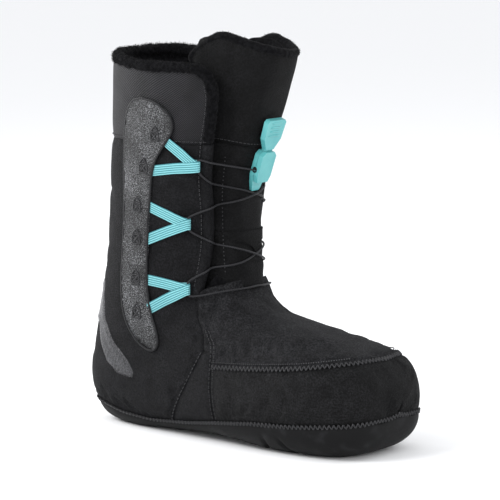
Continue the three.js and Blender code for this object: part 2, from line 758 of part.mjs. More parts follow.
// A flat plate in the lock's frame: an outline of [across, up] between two heights out.
function lockPlate(outline, from, to) {
  const shape = new THREE.Shape(outline.map(([across, up]) => new THREE.Vector2(across, up)));
  const geometry = new THREE.ExtrudeGeometry(shape, { depth: to - from, bevelEnabled: false });
  const place3 = new THREE.Matrix4().makeBasis(
    new THREE.Vector3(0, 1, 0), lockUp, lockOut);
  geometry.translate(0, 0, from);
  geometry.applyMatrix4(place3);
  geometry.translate(lockOrigin.x, 0, lockOrigin.z);
  return solidOf(geometry);
}

function taperedOutline(topHalf, bottomHalf, top, shoulder, bottom) {
  return [
    [-bottomHalf, bottom], [bottomHalf, bottom], [topHalf, shoulder], [topHalf, top - 3],
    [topHalf - 3, top], [-topHalf + 3, top], [-topHalf, top - 3], [-topHalf, shoulder],
  ];
}

const stem = lockPlate([[-4.2, -2], [4.2, -2], [4.2, 17], [-4.2, 17]], 1.9, 5.1);
const stemRoom = lockPlate([[-4.6, -2.4], [4.6, -2.4], [4.6, 60], [-4.6, 60]], 1.5, 5.5);
const baseBlock = lockPlate(taperedOutline(7.8, 4.2, 14.5, -4, -17), 0, 3.4);
const coverBlock = lockPlate(taperedOutline(7.8, 6, 14.5, -4, -9), 3.7, 7.4);
const grip = lockPlate([
  [-4.2, 16], [4.2, 16], [9.5, 24], [10.5, 37], [8.5, 39], [-8.5, 39], [-10.5, 37], [-9.5, 24],
], 1.9, 5.9);
place('lock_base', baseBlock.subtract(stemRoom).subtract(laceRoom), COLOUR.lock, 0.35);
place('lock_cover', coverBlock.subtract(stemRoom).subtract(laceRoom), COLOUR.lock, 0.35);
place('pull_handle', stem.add(grip).subtract(laceRoom), COLOUR.lock, 0.4);
place('lace', lace, COLOUR.lace, 0.7);

liner.position.x = -FORM_MIDDLE;

export default liner;
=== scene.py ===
import math

import bpy
import numpy as np
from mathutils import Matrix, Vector, kdtree, noise
from mathutils.geometry import delaunay_2d_cdt


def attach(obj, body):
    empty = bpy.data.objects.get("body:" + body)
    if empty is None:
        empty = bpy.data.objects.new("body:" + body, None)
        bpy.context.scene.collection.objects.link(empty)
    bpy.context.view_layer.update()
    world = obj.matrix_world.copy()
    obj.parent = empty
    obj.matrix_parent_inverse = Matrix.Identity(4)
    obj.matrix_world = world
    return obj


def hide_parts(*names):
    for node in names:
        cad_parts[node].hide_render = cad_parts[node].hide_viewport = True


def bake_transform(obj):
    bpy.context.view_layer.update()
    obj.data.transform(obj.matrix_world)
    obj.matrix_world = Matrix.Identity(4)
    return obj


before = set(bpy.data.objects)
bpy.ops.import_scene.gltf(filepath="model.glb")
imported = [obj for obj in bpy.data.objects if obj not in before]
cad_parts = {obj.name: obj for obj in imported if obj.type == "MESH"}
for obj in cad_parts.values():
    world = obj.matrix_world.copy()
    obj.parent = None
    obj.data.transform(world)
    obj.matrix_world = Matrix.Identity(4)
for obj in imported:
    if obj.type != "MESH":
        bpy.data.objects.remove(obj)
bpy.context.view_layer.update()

# ------------------------------------------------------------------- camera

VIEW_AZIMUTH = math.radians(38)
VIEW_ELEVATION = math.radians(8)
VIEW_DISTANCE = 2.2
VIEW_LENS = 218.6
VIEW_TARGET = Vector((0.0055, 0, 0.137))

back = Vector((
    math.sin(VIEW_AZIMUTH) * math.cos(VIEW_ELEVATION),
    -math.cos(VIEW_AZIMUTH) * math.cos(VIEW_ELEVATION),
    math.sin(VIEW_ELEVATION),
))
camera = bpy.data.objects.new("camera", bpy.data.cameras.new("camera"))
camera.data.lens = VIEW_LENS
camera.data.sensor_width = 36
camera.location = VIEW_TARGET + back * VIEW_DISTANCE
camera.rotation_euler = (-back).to_track_quat("-Z", "Y").to_euler()
bpy.context.collection.objects.link(camera)
bpy.context.scene.camera = camera

# --------------------------------------------------------------- dimensions

FORM_MIDDLE = 4.5  # the form's own x at the middle of the object's length
RIM_HEIGHT = 271
BINDING_RADIUS = 4.7
LINING_DEPTH = 7.0  # below the form's surface, as every depth is
LACE_RADIUS = 0.75
LACE_DEPTH = -2.5
SLEEVE_LENGTH = 7.5
WEBBING_WIDTH = 8

# Rings of the boot form: low x and z, high x and z, half width, lean toward the big toe.
STATIONS = np.array([
    (137, 30, 137, 48, 13, 8),
    (135, 16, 132, 62, 30, 7),
    (126, 5, 120, 73, 41.5, 5),
    (106, -1, 102, 80, 48, 3),
    (80, -2, 79, 86, 50, 1),
    (50, -1.5, 51, 92, 49, 0),
    (20, 1, 32, 98, 46, -1),
    (-12, 2, 20, 108, 43, -1),
    (-48, 0, 15, 121, 41, 0),
    (-87, -2, 13, 135, 39.5, 0),
    (-118, 5, 13, 148, 39.5, 0),
    (-130, 30, 14, 161, 40, 0),
    (-125, 64, 16, 176, 41, 0),
    (-117.5, 98, 19, 193, 42, 0),
    (-112, 133, 24, 211, 43.5, 0),
    (-109, 168, 30, 230, 45.5, 0),
    (-107, 203, 36, 248, 47.5, 0),
    (-105.5, 240, 40, 262, 48.5, 0),
    (-105, 276, 42, 276, 49, 0),
], float)
LOW_X, LOW_Z, HIGH_X, HIGH_Z, HALF, LEAN = range(6)
LAST = len(STATIONS) - 1
RING_STEP = 30  # millimetres between rings, about
TURN_STEP = 40  # millimetres round a ring for one radian, about

# Side-view lines, [x, z].
SOLE_SEAM = [
    (-150, 17), (-109, 16), (-85, 11), (-56, 9), (-20, 12), (15, 17),
    (47, 21), (83, 23), (108, 25), (130, 27), (150, 31),
]
SOLE_TOP = [
    (-150, 11), (-118, 9), (-60, 7.5), (0, 9), (60, 7), (95, 8), (118, 13), (136, 22), (150, 29),
]
VAMP_SEAM = [(9, 57), (46, 60), (85, 64), (118, 68.5), (150, 71)]
FRONT_EDGE = [
    (-1, 78), (-8, 89), (-11, 101), (-10.5, 112), (-8, 127), (-5.5, 145), (-4, 165),
    (-3, 190), (1, 216),
]
CUFF_EDGE = [(1, 216), (5.5, 235), (8, 250), (6.5, 262), (0, 269), (-8, RIM_HEIGHT)]
THROAT = [(30, 122), (-9.8, 108)]
HEEL_OVERLAY = [
    (-101, 108), (-97.5, 80), (-84, 63), (-73, 53), (-66, 43), (-70, 40), (-84, 42),
    (-95, 49), (-103, 62), (-108, 76),
]
PATCH = [
    (-50, 248), (-36, 245), (-24, 236), (-23, 226), (-29, 217), (-38, 205), (-43, 192),
    (-46, 173), (-50, 144), (-52, 118), (-51, 96), (-46, 80), (-44, 70), (-47, 64), (-55, 64),
    (-66, 72), (-75, 88), (-77, 112), (-75, 141), (-73, 171), (-71, 205), (-68, 230), (-61, 244),
]

# Each loop's apex and where its two straps leave the patch.
LOOPS = [
    ("top", (-6.5, 201), (-27, 216), (-39, 196)),
    ("middle", (-17, 158), (-45, 168), (-49, 145)),
    ("bottom", (-19.5, 111), (-52, 114.5), (-52, 93)),
]
SIDES = [("lateral", -1), ("medial", 1)]

# The tongue's height, front face and half width.
TONGUE = np.array([
    (100, 16, 20.5), (116, 15, 22), (125, 14, 22.6), (134, 13, 22.8), (150, 12, 22.9),
    (162, 11.5, 23), (176, 11.8, 23.6), (186, 13, 24), (198, 17.3, 24.8), (220, 24.7, 27.3),
    (250, 35.5, 30.5), (298, 51.7, 32),
])
TONGUE_EDGE = -18  # where its two side edges lie, along x
TONGUE_POWER = 2.8  # how square its section is
TONGUE_BOTTOM = 109.5


# ------------------------------------------------------------- curve helpers

def smooth(start, end, value):
    t = np.clip((value - start) / (end - start), 0, 1)
    return t * t * (3 - 2 * t)


def signed_power(value, power):
    return np.sign(value) * np.abs(value) ** power


def unit(vectors):
    return vectors / np.maximum(np.linalg.norm(vectors, axis=-1, keepdims=True), 1e-9)


def spline(values, u):
    """A smooth curve through evenly numbered values."""
    values = np.asarray(values, float)
    padded = np.concatenate([
        [2 * values[0] - values[1]], values, [2 * values[-1] - values[-2]],
    ])
    i = np.clip(np.floor(u).astype(int), 0, len(values) - 2)
    t = u - i
    a, b, c, d = (padded[i + k] for k in range(4))
    return 0.5 * (2 * b + (c - a) * t + (2 * a - 5 * b + 4 * c - d) * t**2
                  + (3 * b - a - 3 * c + d) * t**3)


def run_along(points):
    """How far along a polyline each of its points is."""
    return np.concatenate([[0], np.cumsum(np.linalg.norm(np.diff(points, axis=0), axis=1))])


def read_off(at, known, values):
    """Each column of values, read off at new places between the known ones."""
    return np.stack([np.interp(at, known, column) for column in values.T], axis=1)


def resample(points, step):
    """Evenly spaced points along a polyline, both ends kept."""
    points = np.asarray(points, float)
    run = run_along(points)
    count = max(int(round(run[-1] / step)), 1) + 1
    return read_off(np.linspace(0, run[-1], count), run, points)


def curve_through(points, step):
    """Evenly spaced points along a smooth curve through the given points."""
    points = np.asarray(points, float)
    u = np.linspace(0, len(points) - 1, 24 * len(points))
    return resample(np.stack([spline(column, u) for column in points.T], axis=1), step)


def wander(points, size, seed):
    """Smooth noise from -1 to 1 at each point, with bumps of about the given size."""
    return np.array([noise.noise(Vector(p) / size + Vector((seed, 2.3 * seed, 0)))
                     for p in points])


# ---------------------------------------------------------------- boot form

def rail(x_column, z_column, u, depth, turn):
    before = np.clip(u - 0.01, 0, LAST)
    after = np.clip(u + 0.01, 0, LAST)
    xs, zs = STATIONS[:, x_column], STATIONS[:, z_column]
    dx = spline(xs, after) - spline(xs, before)
    dz = spline(zs, after) - spline(zs, before)
    length = np.hypot(dx, dz)
    return spline(xs, u) + turn * dz * depth / length, spline(zs, u) - turn * dx * depth / length


def ring_shape(u):
    """Where the ring is widest along its rise, and the powers of its lower and upper half."""
    leg = smooth(7, 12, u)
    toe = 1 - smooth(1.5, 6, u)
    return 0.4 + 0.1 * leg, 3.2 - leg, (2.5 + 0.6 * toe) * (1 - leg) + 2.2 * leg


def form_point(params, depth=0.0):
    """Points on the boot form, from (ring, angle) pairs, moved inward by depth.

    Angle 0 is the instep or front, pi the sole or back, and 0 to pi the +Y side. Rings
    from -1 to 0 close the toe.
    """
    params = np.asarray(params, float)
    depth = np.broadcast_to(np.asarray(depth, float), params.shape[:-1])
    u = np.clip(params[..., 0], 0, LAST)
    nose = np.clip(-params[..., 0], 0, 1) * math.pi / 2
    angle = params[..., 1]
    low_x, low_z = rail(LOW_X, LOW_Z, u, depth, 1)
    high_x, high_z = rail(HIGH_X, HIGH_Z, u, depth, -1)
    half = spline(STATIONS[:, HALF], u) - depth
    middle, low_power, high_power = ring_shape(u)
    power = 2 / np.where(np.cos(angle) < 0, low_power, high_power)
    along = signed_power(np.cos(angle), power) * np.cos(nose)
    across = signed_power(np.sin(angle), power) * np.cos(nose)
    rise = middle + along * np.where(along < 0, middle, 1 - middle)
    return np.stack([
        low_x + (high_x - low_x) * rise + (1.4 - depth) * np.sin(nose),
        spline(STATIONS[:, LEAN], u) + half * across,
        low_z + (high_z - low_z) * rise,
    ], axis=-1)


def outward(params):
    return unit(form_point(params, -0.5) - form_point(params, 0.5))


FINE_U = np.linspace(0, LAST, 1500)
FINE_LOW = np.stack(rail(LOW_X, LOW_Z, FINE_U, 0.0, 1), axis=1)
FINE_RUN = np.stack(rail(HIGH_X, HIGH_Z, FINE_U, 0.0, -1), axis=1) - FINE_LOW


def side_param(x, z):
    """Ring and angle (0 to pi) of the form at a side-view position, and if it is on the form."""
    reach = np.array([x, z]) - FINE_LOW
    off = FINE_RUN[:, 0] * reach[:, 1] - FINE_RUN[:, 1] * reach[:, 0]
    rise = (FINE_RUN * reach).sum(axis=1) / (FINE_RUN**2).sum(axis=1)
    crossings = np.flatnonzero(off[:-1] * off[1:] <= 0)
    if len(crossings) == 0:
        crossings = np.array([min(np.argmin(np.abs(off)), len(off) - 2)])
    k = crossings[np.argmin(np.abs(rise[crossings] - 0.5))]
    t = np.clip(off[k] / (off[k] - off[k + 1] + 1e-12), 0, 1)
    u = FINE_U[k] + t * (FINE_U[1] - FINE_U[0])
    f = rise[k] + t * (rise[k + 1] - rise[k])
    on_form = 0 < f < 1
    f = min(max(f, 0), 1)
    middle, low_power, high_power = ring_shape(u)
    along = (f - middle) / (middle if f < middle else 1 - middle)
    power = (low_power if f < middle else high_power) / 2
    return u, math.acos(np.clip(signed_power(along, power), -1, 1)), on_form


def trace(line, side=1):
    """A side-view line as (ring, angle) pairs, ended where it leaves the form or at the toe."""
    found = [side_param(x, z) for x, z in line]
    inside = [k for k, (_, _, on_form) in enumerate(found) if on_form]
    first = max(inside[0] - 1, 0)
    last = min(inside[-1] + 1, len(found) - 1)
    params = np.array([(u, side * angle) for u, angle, _ in found[first:last + 1]])
    at_toe = np.flatnonzero(params[:, 0] == 0)
    return params[:at_toe[0] + 1] if len(at_toe) else params


def side_points(line, side, depth):
    return form_point(trace(line, side), depth)


def rim_rise(points):
    """How far the rim stands above its usual height: it is highest at the back."""
    x, y = points[..., 0], points[..., 1]
    inner = smooth(-10, 30, y)
    return 4.6 * smooth(-55, -106, x) + inner * (1.5 - 6 * smooth(-60, 0, x))


def rim_params(count, front_angle, z):
    """(ring, angle) pairs round the leg at the rim, from one side of the front to the other."""
    angles = np.linspace(front_angle, 2 * math.pi - front_angle, count)
    rings = np.linspace(9, LAST, 400)
    pairs = []
    for angle in angles:
        line = form_point(np.stack([rings, np.full_like(rings, angle)], axis=1))
        pairs.append((np.interp(z, line[:, 2] - np.minimum(rim_rise(line), 4.6), rings), angle))
    return np.array(pairs)


# ----------------------------------------------------------------- materials

def linear(red, green, blue):
    """A colour given as screen values from 0 to 255."""
    def one(value):
        value /= 255
        return value / 12.92 if value <= 0.04045 else ((value + 0.055) / 1.055) ** 2.4
    return one(red), one(green), one(blue), 1


class Finish:
    """A procedural material: mottled colour, and bumps stacked one on another."""

    def __init__(self, name, roughness, sheen=0.0, coat=0.0, specular=0.5):
        self.material = bpy.data.materials.new(name)
        self.material.use_nodes = True
        self.nodes = self.material.node_tree.nodes
        self.links = self.material.node_tree.links
        self.shader = self.nodes["Principled BSDF"]
        self.shader.inputs["Roughness"].default_value = roughness
        self.shader.inputs["Sheen Weight"].default_value = sheen
        self.shader.inputs["Sheen Roughness"].default_value = 0.4
        self.shader.inputs["Coat Weight"].default_value = coat
        self.shader.inputs["Specular IOR Level"].default_value = specular
        self.normal = None
        self.place = self.nodes.new("ShaderNodeTexCoord").outputs["Object"]
        flat = self.nodes.new("ShaderNodeUVMap")
        flat.uv_map = "cloth"
        self.flat = flat.outputs["UV"]

    def node(self, kind, inputs=(), **settings):
        made = self.nodes.new(kind)
        for key, value in settings.items():
            setattr(made, key, value)
        for key, value in dict(inputs).items():
            if isinstance(value, bpy.types.NodeSocket):
                self.links.new(value, made.inputs[key])
            else:
                made.inputs[key].default_value = value
        return made

    def noise(self, scale, detail=2.0, flat=False, roughness=0.5):
        """Noise from 0 to 1; scale is in bumps per millimetre."""
        source = self.flat if flat else self.place
        return self.node("ShaderNodeTexNoise", {
            "Vector": source, "Scale": scale if flat else scale * 1000, "Detail": detail,
            "Roughness": roughness,
        }).outputs["Fac"]

    def ridges(self, pitch, turn=0.0, twist=0.0):
        """Straight ridges on the cloth, from 0 to 1, with the given pitch in millimetres."""
        turned = self.node("ShaderNodeMapping", {
            "Vector": self.flat, "Rotation": (0, 0, math.radians(turn)),
        }).outputs["Vector"]
        return self.node("ShaderNodeTexWave", {
            "Vector": turned, "Scale": math.pi / (10 * pitch), "Distortion": twist,
            "Detail": 1.0, "Detail Scale": 2.0,
        }, wave_profile="SIN").outputs["Fac"]

    def math(self, operation, first, second):
        return self.node("ShaderNodeMath", {0: first, 1: second}, operation=operation).outputs[0]

    def step(self, value, start, end):
        """0 below start and 1 above end, with a ramp between."""
        return self.node("ShaderNodeMapRange", {
            "Value": value, "From Min": start, "From Max": end,
        }).outputs["Result"]

    def mix(self, factor, first, second):
        """A colour from first, at factor 0, to second, at 1."""
        made = self.nodes.new("ShaderNodeMix")
        made.data_type = "RGBA"
        for socket, value in ((made.inputs[0], factor), (made.inputs[6], first),
                              (made.inputs[7], second)):
            if isinstance(value, bpy.types.NodeSocket):
                self.links.new(value, socket)
            else:
                socket.default_value = value
        return made.outputs[2]

    def colour(self, value):
        self.links.new(value, self.shader.inputs["Base Color"])

    def bump(self, height, depth):
        """Adds a bump whose full height is depth, in millimetres."""
        inputs = {"Height": height, "Distance": depth / 1000, "Strength": 1.0}
        if self.normal is not None:
            inputs["Normal"] = self.normal
        self.normal = self.node("ShaderNodeBump", inputs).outputs["Normal"]
        self.links.new(self.normal, self.shader.inputs["Normal"])


def cloth_finish(name, dark, light, pitch):
    """Fine knitted or woven cloth: crossed ridges, coarse grain and slow mottling."""
    made = Finish(name, 0.75, specular=0.13)
    weave = made.math("MULTIPLY", made.ridges(pitch, 45, 0.6), made.ridges(pitch, -45, 0.6))
    mottle = made.step(made.noise(0.1, 4), 0.3, 0.7)
    grain = made.step(made.noise(0.8, 3, roughness=0.75), 0.42, 0.64)
    fine = made.math("MULTIPLY", made.math("ADD", weave, grain), 0.5)
    tone = made.math("MULTIPLY", fine, made.math("ADD", 0.45, made.math("MULTIPLY", mottle, 0.55)))
    made.colour(made.mix(tone, dark, light))
    made.bump(weave, 0.2)
    made.bump(grain, 0.3)
    return made.material


def fleece_finish():
    made = Finish("fleece", 0.9, sheen=0.03, specular=0.05)
    tuft = made.noise(0.4, 4, roughness=0.65)
    strand = made.noise(2.2, 2)
    tone = made.math("ADD", made.math("MULTIPLY", made.step(tuft, 0.4, 0.72), 0.7),
                     made.math("MULTIPLY", strand, 0.3))
    made.colour(made.mix(tone, linear(4, 4, 5), linear(30, 30, 32)))
    made.bump(tuft, 0.9)
    made.bump(strand, 0.3)
    return made.material


def mesh_finish():
    """Ribbed knit: raised diagonal ribs with small dark openings between them; the colour is
    painted lighter on the crests as painted highlight and darker between them as painted shade.
    """
    made = Finish("mesh_fabric", 0.6, specular=0.2)
    rib = made.ridges(1.3, 52, 0.4)
    cross = made.ridges(1.1, -38, 0.5)
    knit = made.math("MULTIPLY", made.step(rib, 0.35, 0.8),
                     made.math("ADD", 0.45, made.math("MULTIPLY", cross, 0.55)))
    patchy = made.step(made.noise(0.05, 3), 0.3, 0.7)
    # Painted highlight on the rib crests and painted shade between them, dimmed in broad random
    # patches.
    made.colour(made.mix(made.math("MULTIPLY", knit, made.math(
        "ADD", 0.4, made.math("MULTIPLY", patchy, 0.6))), linear(2, 2, 3), linear(56, 55, 60)))
    made.bump(knit, 0.45)
    return made.material


def heather_finish():
    """Bonded patch cloth with light flecks."""
    made = Finish("heather_fabric", 0.5, specular=0.25)
    fleck = made.noise(1.5, 3, roughness=0.75)
    cloud = made.step(made.noise(0.04, 3), 0.35, 0.62)
    bright = made.math("MULTIPLY", made.step(fleck, 0.5, 0.63),
                       made.math("ADD", 0.35, made.math("MULTIPLY", cloud, 0.65)))
    made.colour(made.mix(bright, linear(4, 4, 5), linear(146, 147, 150)))
    made.bump(fleck, 0.4)
    return made.material


def film_finish():
    made = Finish("heel_film", 0.3, specular=0.35)
    grain = made.noise(1.0, 3, roughness=0.7)
    # The light specks on the dark film are painted glints laid over its grain, which also bumps the
    # surface.
    made.colour(made.mix(made.step(grain, 0.4, 0.7), linear(12, 12, 13), linear(84, 84, 88)))
    made.bump(grain, 0.4)
    return made.material


def sole_finish():
    made = Finish("sole_rubber", 0.65, specular=0.15)
    pores = made.noise(1.3, 3, roughness=0.7)
    scuff = made.step(made.noise(0.08, 5), 0.52, 0.7)
    made.colour(made.mix(made.math("MULTIPLY", scuff, pores), linear(11, 11, 12),
                         linear(40, 40, 42)))
    made.bump(pores, 0.2)
    return made.material


def webbing_finish():
    """Grosgrain: raised cords run along it, with fine ribs across them."""
    made = Finish("webbing", 0.65, specular=0.2)
    rib = made.ridges(0.8, 0, 0.3)
    cord = made.step(made.ridges(1.62, 90), 0.12, 0.55)
    base = made.mix(rib, linear(112, 182, 188), linear(150, 216, 220))
    made.colour(made.mix(cord, linear(70, 140, 150), base))
    made.bump(rib, 0.2)
    made.bump(cord, 0.4)
    return made.material


def plastic_finish():
    made = Finish("lock_plastic", 0.38, coat=0.15, specular=0.5)
    cloud = made.noise(0.08, 2)
    fine = made.noise(2.0, 2)
    made.colour(made.mix(cloud, linear(66, 152, 156), linear(96, 178, 178)))
    made.bump(fine, 0.03)
    return made.material


def cord_finish(name, dark, light):
    """Braid: two crossed sets of strands round the cord."""
    made = Finish(name, 0.5, specular=0.25)
    braid = made.math("MULTIPLY", made.ridges(0.9, 40), made.ridges(0.9, -40))
    made.colour(made.mix(braid, dark, light))
    made.bump(braid, 0.15)
    return made.material


FINISHES = {
    "knit_fabric": cloth_finish("knit_fabric", linear(2, 2, 3), linear(46, 46, 49), 0.9),
    # The vamp and the tongue are one black fabric in two copies: the vamp's lighter copy is painted
    # light, with painted speckled highlights, and the tongue's darker copy is painted shade.
    "lit_vamp_fabric": cloth_finish("lit_vamp_fabric", linear(2, 2, 3), linear(66, 66, 69), 0.9),
    "rand_fabric": cloth_finish("rand_fabric", linear(2, 2, 2), linear(50, 50, 52), 0.8),
    "tongue_fabric": cloth_finish("tongue_fabric", linear(2, 2, 2), linear(34, 34, 36), 0.8),
    "mesh_fabric": mesh_finish(),
    "heather_fabric": heather_finish(),
    "fleece": fleece_finish(),
    "foam": cloth_finish("foam", linear(40, 40, 43), linear(82, 82, 86), 1.2),
    "board": cloth_finish("board", linear(110, 104, 90), linear(156, 148, 130), 1.0),
    "sole_rubber": sole_finish(),
    "heel_film": film_finish(),
    "stiffener": cord_finish("stiffener", linear(8, 8, 10), linear(30, 30, 34)),
    "webbing": webbing_finish(),
    "lock_plastic": plastic_finish(),
    "lace": cord_finish("lace", linear(16, 16, 18), linear(62, 62, 66)),
    # The stitching thread is black: the light tone of its braid is painted highlight, grey glints
    # put into its colour.
    "thread": cord_finish("thread", linear(16, 16, 17), linear(92, 92, 95)),
}


# --------------------------------------------------------------- mesh helpers

def make(name, shape, finish, body="liner", replaces=(), fill=None):
    """One piece from a shape: points in millimetres, faces, and places on the flat cloth."""
    points, faces, cloth = shape
    points = (np.asarray(points, float) - (FORM_MIDDLE, 0, 0)) / 1000
    mesh = bpy.data.meshes.new(name)
    mesh.from_pydata(points.tolist(), [], [tuple(int(i) for i in face) for face in faces])
    mesh.validate()
    mesh.shade_smooth()
    corners = np.empty(len(mesh.loops), int)
    mesh.loops.foreach_get("vertex_index", corners)
    layer = mesh.uv_layers.new(name="cloth")
    layer.data.foreach_set("uv", np.asarray(cloth, float)[corners].ravel())
    mesh.materials.append(FINISHES[finish])
    piece = bpy.data.objects.new(name, mesh)
    bpy.context.collection.objects.link(piece)
    if replaces:
        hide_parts(*replaces)
    if body:
        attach(piece, body)
    return piece


def grid_faces(rows, columns, wrap=False):
    """Quads between the points of a grid, joined round from last column to first if wrapped."""
    r, c = np.meshgrid(np.arange(rows - 1), np.arange(columns - (0 if wrap else 1)),
                       indexing="ij")
    after = (c + 1) % columns
    quads = np.stack([r * columns + c, r * columns + after,
                      (r + 1) * columns + after, (r + 1) * columns + c], axis=-1)
    return quads.reshape(-1, 4).tolist()


def slab_faces(rows, columns):
    """Faces of a closed layer between two grids of points, the outer grid first."""
    count = rows * columns
    faces = grid_faces(rows, columns)
    back_faces = [[i + count for i in face[::-1]] for face in faces]
    rim = [*range(columns), *[columns * (k + 1) + columns - 1 for k in range(rows - 1)],
           *[columns * (rows - 1) + k for k in range(columns - 2, -1, -1)],
           *[columns * (rows - 2 - k) for k in range(rows - 2)]]
    walls = [(b, a, a + count, b + count) for a, b in zip(rim, rim[1:] + rim[:1])]
    return [*faces, *back_faces, *walls]


def flipped(faces):
    return [face[::-1] for face in faces]


def flat_places(along, across):
    """Places on the flat cloth for a grid of points."""
    return np.stack(np.meshgrid(along, across, indexing="ij"), axis=-1).reshape(-1, 2)


def carried(path):
    """A direction square to a path that turns as little as it can."""
    tangent = unit(np.gradient(path, axis=0))
    held = np.array([0, 0, 1.0]) if abs(tangent[0, 2]) < 0.9 else np.array([1.0, 0, 0])
    out = []
    for t in tangent:
        held = unit(held - t * (held @ t))
        out.append(held)
    return np.array(out)


def sweep(path, out, section, across=None):
    """A closed section of (across, out) points carried along a path, with flat ends."""
    path = np.asarray(path, float)
    tangent = unit(np.gradient(path, axis=0))
    out = unit(out - tangent * (out * tangent).sum(axis=1, keepdims=True))
    if across is None:
        across = np.cross(tangent, out)
    section = np.asarray(section, float)
    section = np.broadcast_to(section, (len(path), *section.shape[-2:]))
    points = (path[:, None] + across[:, None] * section[..., 0:1]
              + out[:, None] * section[..., 1:2]).reshape(-1, 3)
    count = section.shape[1]
    faces = flipped(grid_faces(len(path), count, wrap=True))
    faces.append(list(range(count)))
    faces.append(list(range(len(points) - 1, len(points) - count - 1, -1)))
    cloth = flat_places(run_along(path), run_along(section[0]))
    return points, faces, cloth


def circle(radius, sides):
    angles = np.linspace(0, 2 * math.pi, sides, endpoint=False)
    return np.stack([np.cos(angles), np.sin(angles)], axis=1) * radius


def join(parts):
    """One set of points, faces and cloth places from several."""
    points, faces, cloth, start = [], [], [], 0
    for part_points, part_faces, part_cloth in parts:
        points.append(part_points)
        faces.extend([[i + start for i in face] for face in part_faces])
        cloth.append(part_cloth)
        start += len(part_points)
    return np.concatenate(points), faces, np.concatenate(cloth)


def inside(points, outline):
    """Which flat points lie inside a closed outline."""
    found = np.zeros(len(points), bool)
    ends = np.roll(outline, -1, axis=0)
    for (x0, y0), (x1, y1) in zip(outline, ends):
        spans = (y0 > points[:, 1]) != (y1 > points[:, 1])
        if y0 != y1:
            found ^= spans & (points[:, 0] < (x1 - x0) * (points[:, 1] - y0) / (y1 - y0) + x0)
    return found


def distances(points, targets):
    """How far each point is from the nearest target."""
    tree = kdtree.KDTree(len(targets))
    for k, target in enumerate(targets):
        tree.insert(target, k)
    tree.balance()
    return np.array([tree.find(point)[2] for point in points])


def panel(name, outline, finish, relief, depth=0.0, inner=1.5, spacing=1.8, seams=None,
          swell=0.0, **details):
    """A closed piece of cloth on the form, inside an outline of (ring, angle) pairs.

    relief(points, edge) says how far it stands out, from each point's place and its
    distance to the nearest seam; depth and inner are where its two faces lie. swell lets
    a cloth simulation puff it out by up to that much.
    """
    scale = np.array([RING_STEP, TURN_STEP])
    border = resample(np.concatenate([outline, outline[:1]]) * scale, spacing)[:-1]
    low, high = border.min(axis=0), border.max(axis=0)
    rows = np.arange(low[1], high[1], spacing * 0.866)
    columns = np.arange(low[0], high[0], spacing)
    grid = np.array([(x + (k % 2) * spacing / 2, y) for k, y in enumerate(rows) for x in columns])
    grid = grid[inside(grid, border)]
    grid = grid[distances(np.pad(grid, ((0, 0), (0, 1))), np.pad(border, ((0, 0), (0, 1))))
                > 0.6 * spacing]
    flat = np.concatenate([border, grid])
    count = len(border)
    edges = [(k, (k + 1) % count) for k in range(count)]
    result = delaunay_2d_cdt([Vector(p) for p in flat], edges, [], 1, 1e-6)
    flat = np.array([tuple(p) for p in result[0]])
    faces = np.array(result[2])
    params = flat / scale

    rest = form_point(params)
    _, first, index = np.unique(np.round(rest, 2), axis=0, return_index=True,
                                   return_inverse=True)
    index = index.ravel()
    params, rest, flat = params[first], rest[first], flat[first]
    faces = index[faces]
    faces = faces[(faces[:, 0] != faces[:, 1]) & (faces[:, 1] != faces[:, 2])
                  & (faces[:, 2] != faces[:, 0])]

    seams = [outline] if seams is None else seams
    seam_points = np.concatenate([form_point(resample(s * scale, 1.0) / scale) for s in seams])
    edge = distances(rest, seam_points)
    outer_points = form_point(params, depth - relief(rest, edge))
    inner_points = form_point(params, inner)
    toe = np.clip(1.2 - params[:, 0], 0, 1) * smooth(0.5, 5, edge)
    if toe.any():
        outer_points = rounded(outer_points, faces, toe, 60)
        inner_points = rounded(inner_points, faces, toe, 60)

    a, b, c = (outer_points[faces[:, k]] for k in range(3))
    facing = (np.cross(b - a, c - a) * outward(params[faces[:, 0]])).sum()
    if facing < 0:
        faces = faces[:, ::-1]
    total = len(params)
    sides = {(int(f[k]), int(f[(k + 1) % 3])) for f in faces for k in range(3)}
    walls = [(b, a, a + total, b + total) for a, b in sides if (b, a) not in sides]
    faces = [*faces.tolist(), *(faces[:, ::-1] + total).tolist(), *walls]
    shape = np.concatenate([outer_points, inner_points]), faces, np.concatenate([flat, flat])
    piece = make(name, shape, finish, **details)
    if swell:
        settle(piece, np.concatenate([1 - smooth(1.5, 5, edge), np.ones(total)]), swell)
    return piece


def rounded(points, faces, share, times):
    """Points drawn toward the middle of their neighbours, by each point's own share."""
    pairs = np.concatenate([faces[:, [0, 1]], faces[:, [1, 2]], faces[:, [2, 0]]])
    pairs = np.unique(np.sort(pairs, axis=1), axis=0)
    pairs = np.concatenate([pairs, pairs[:, ::-1]])
    count = np.bincount(pairs[:, 0], minlength=len(points))[:, None]
    for _ in range(times):
        total = np.stack([np.bincount(pairs[:, 0], points[pairs[:, 1], k], len(points))
                          for k in range(3)], axis=1)
        points = points + (total / count - points) * 0.5 * share[:, None]
    return points


SETTLE_FRAMES = 20
SETTLE_PRESSURE = 2.0
SETTLE_SLACK = 0.03


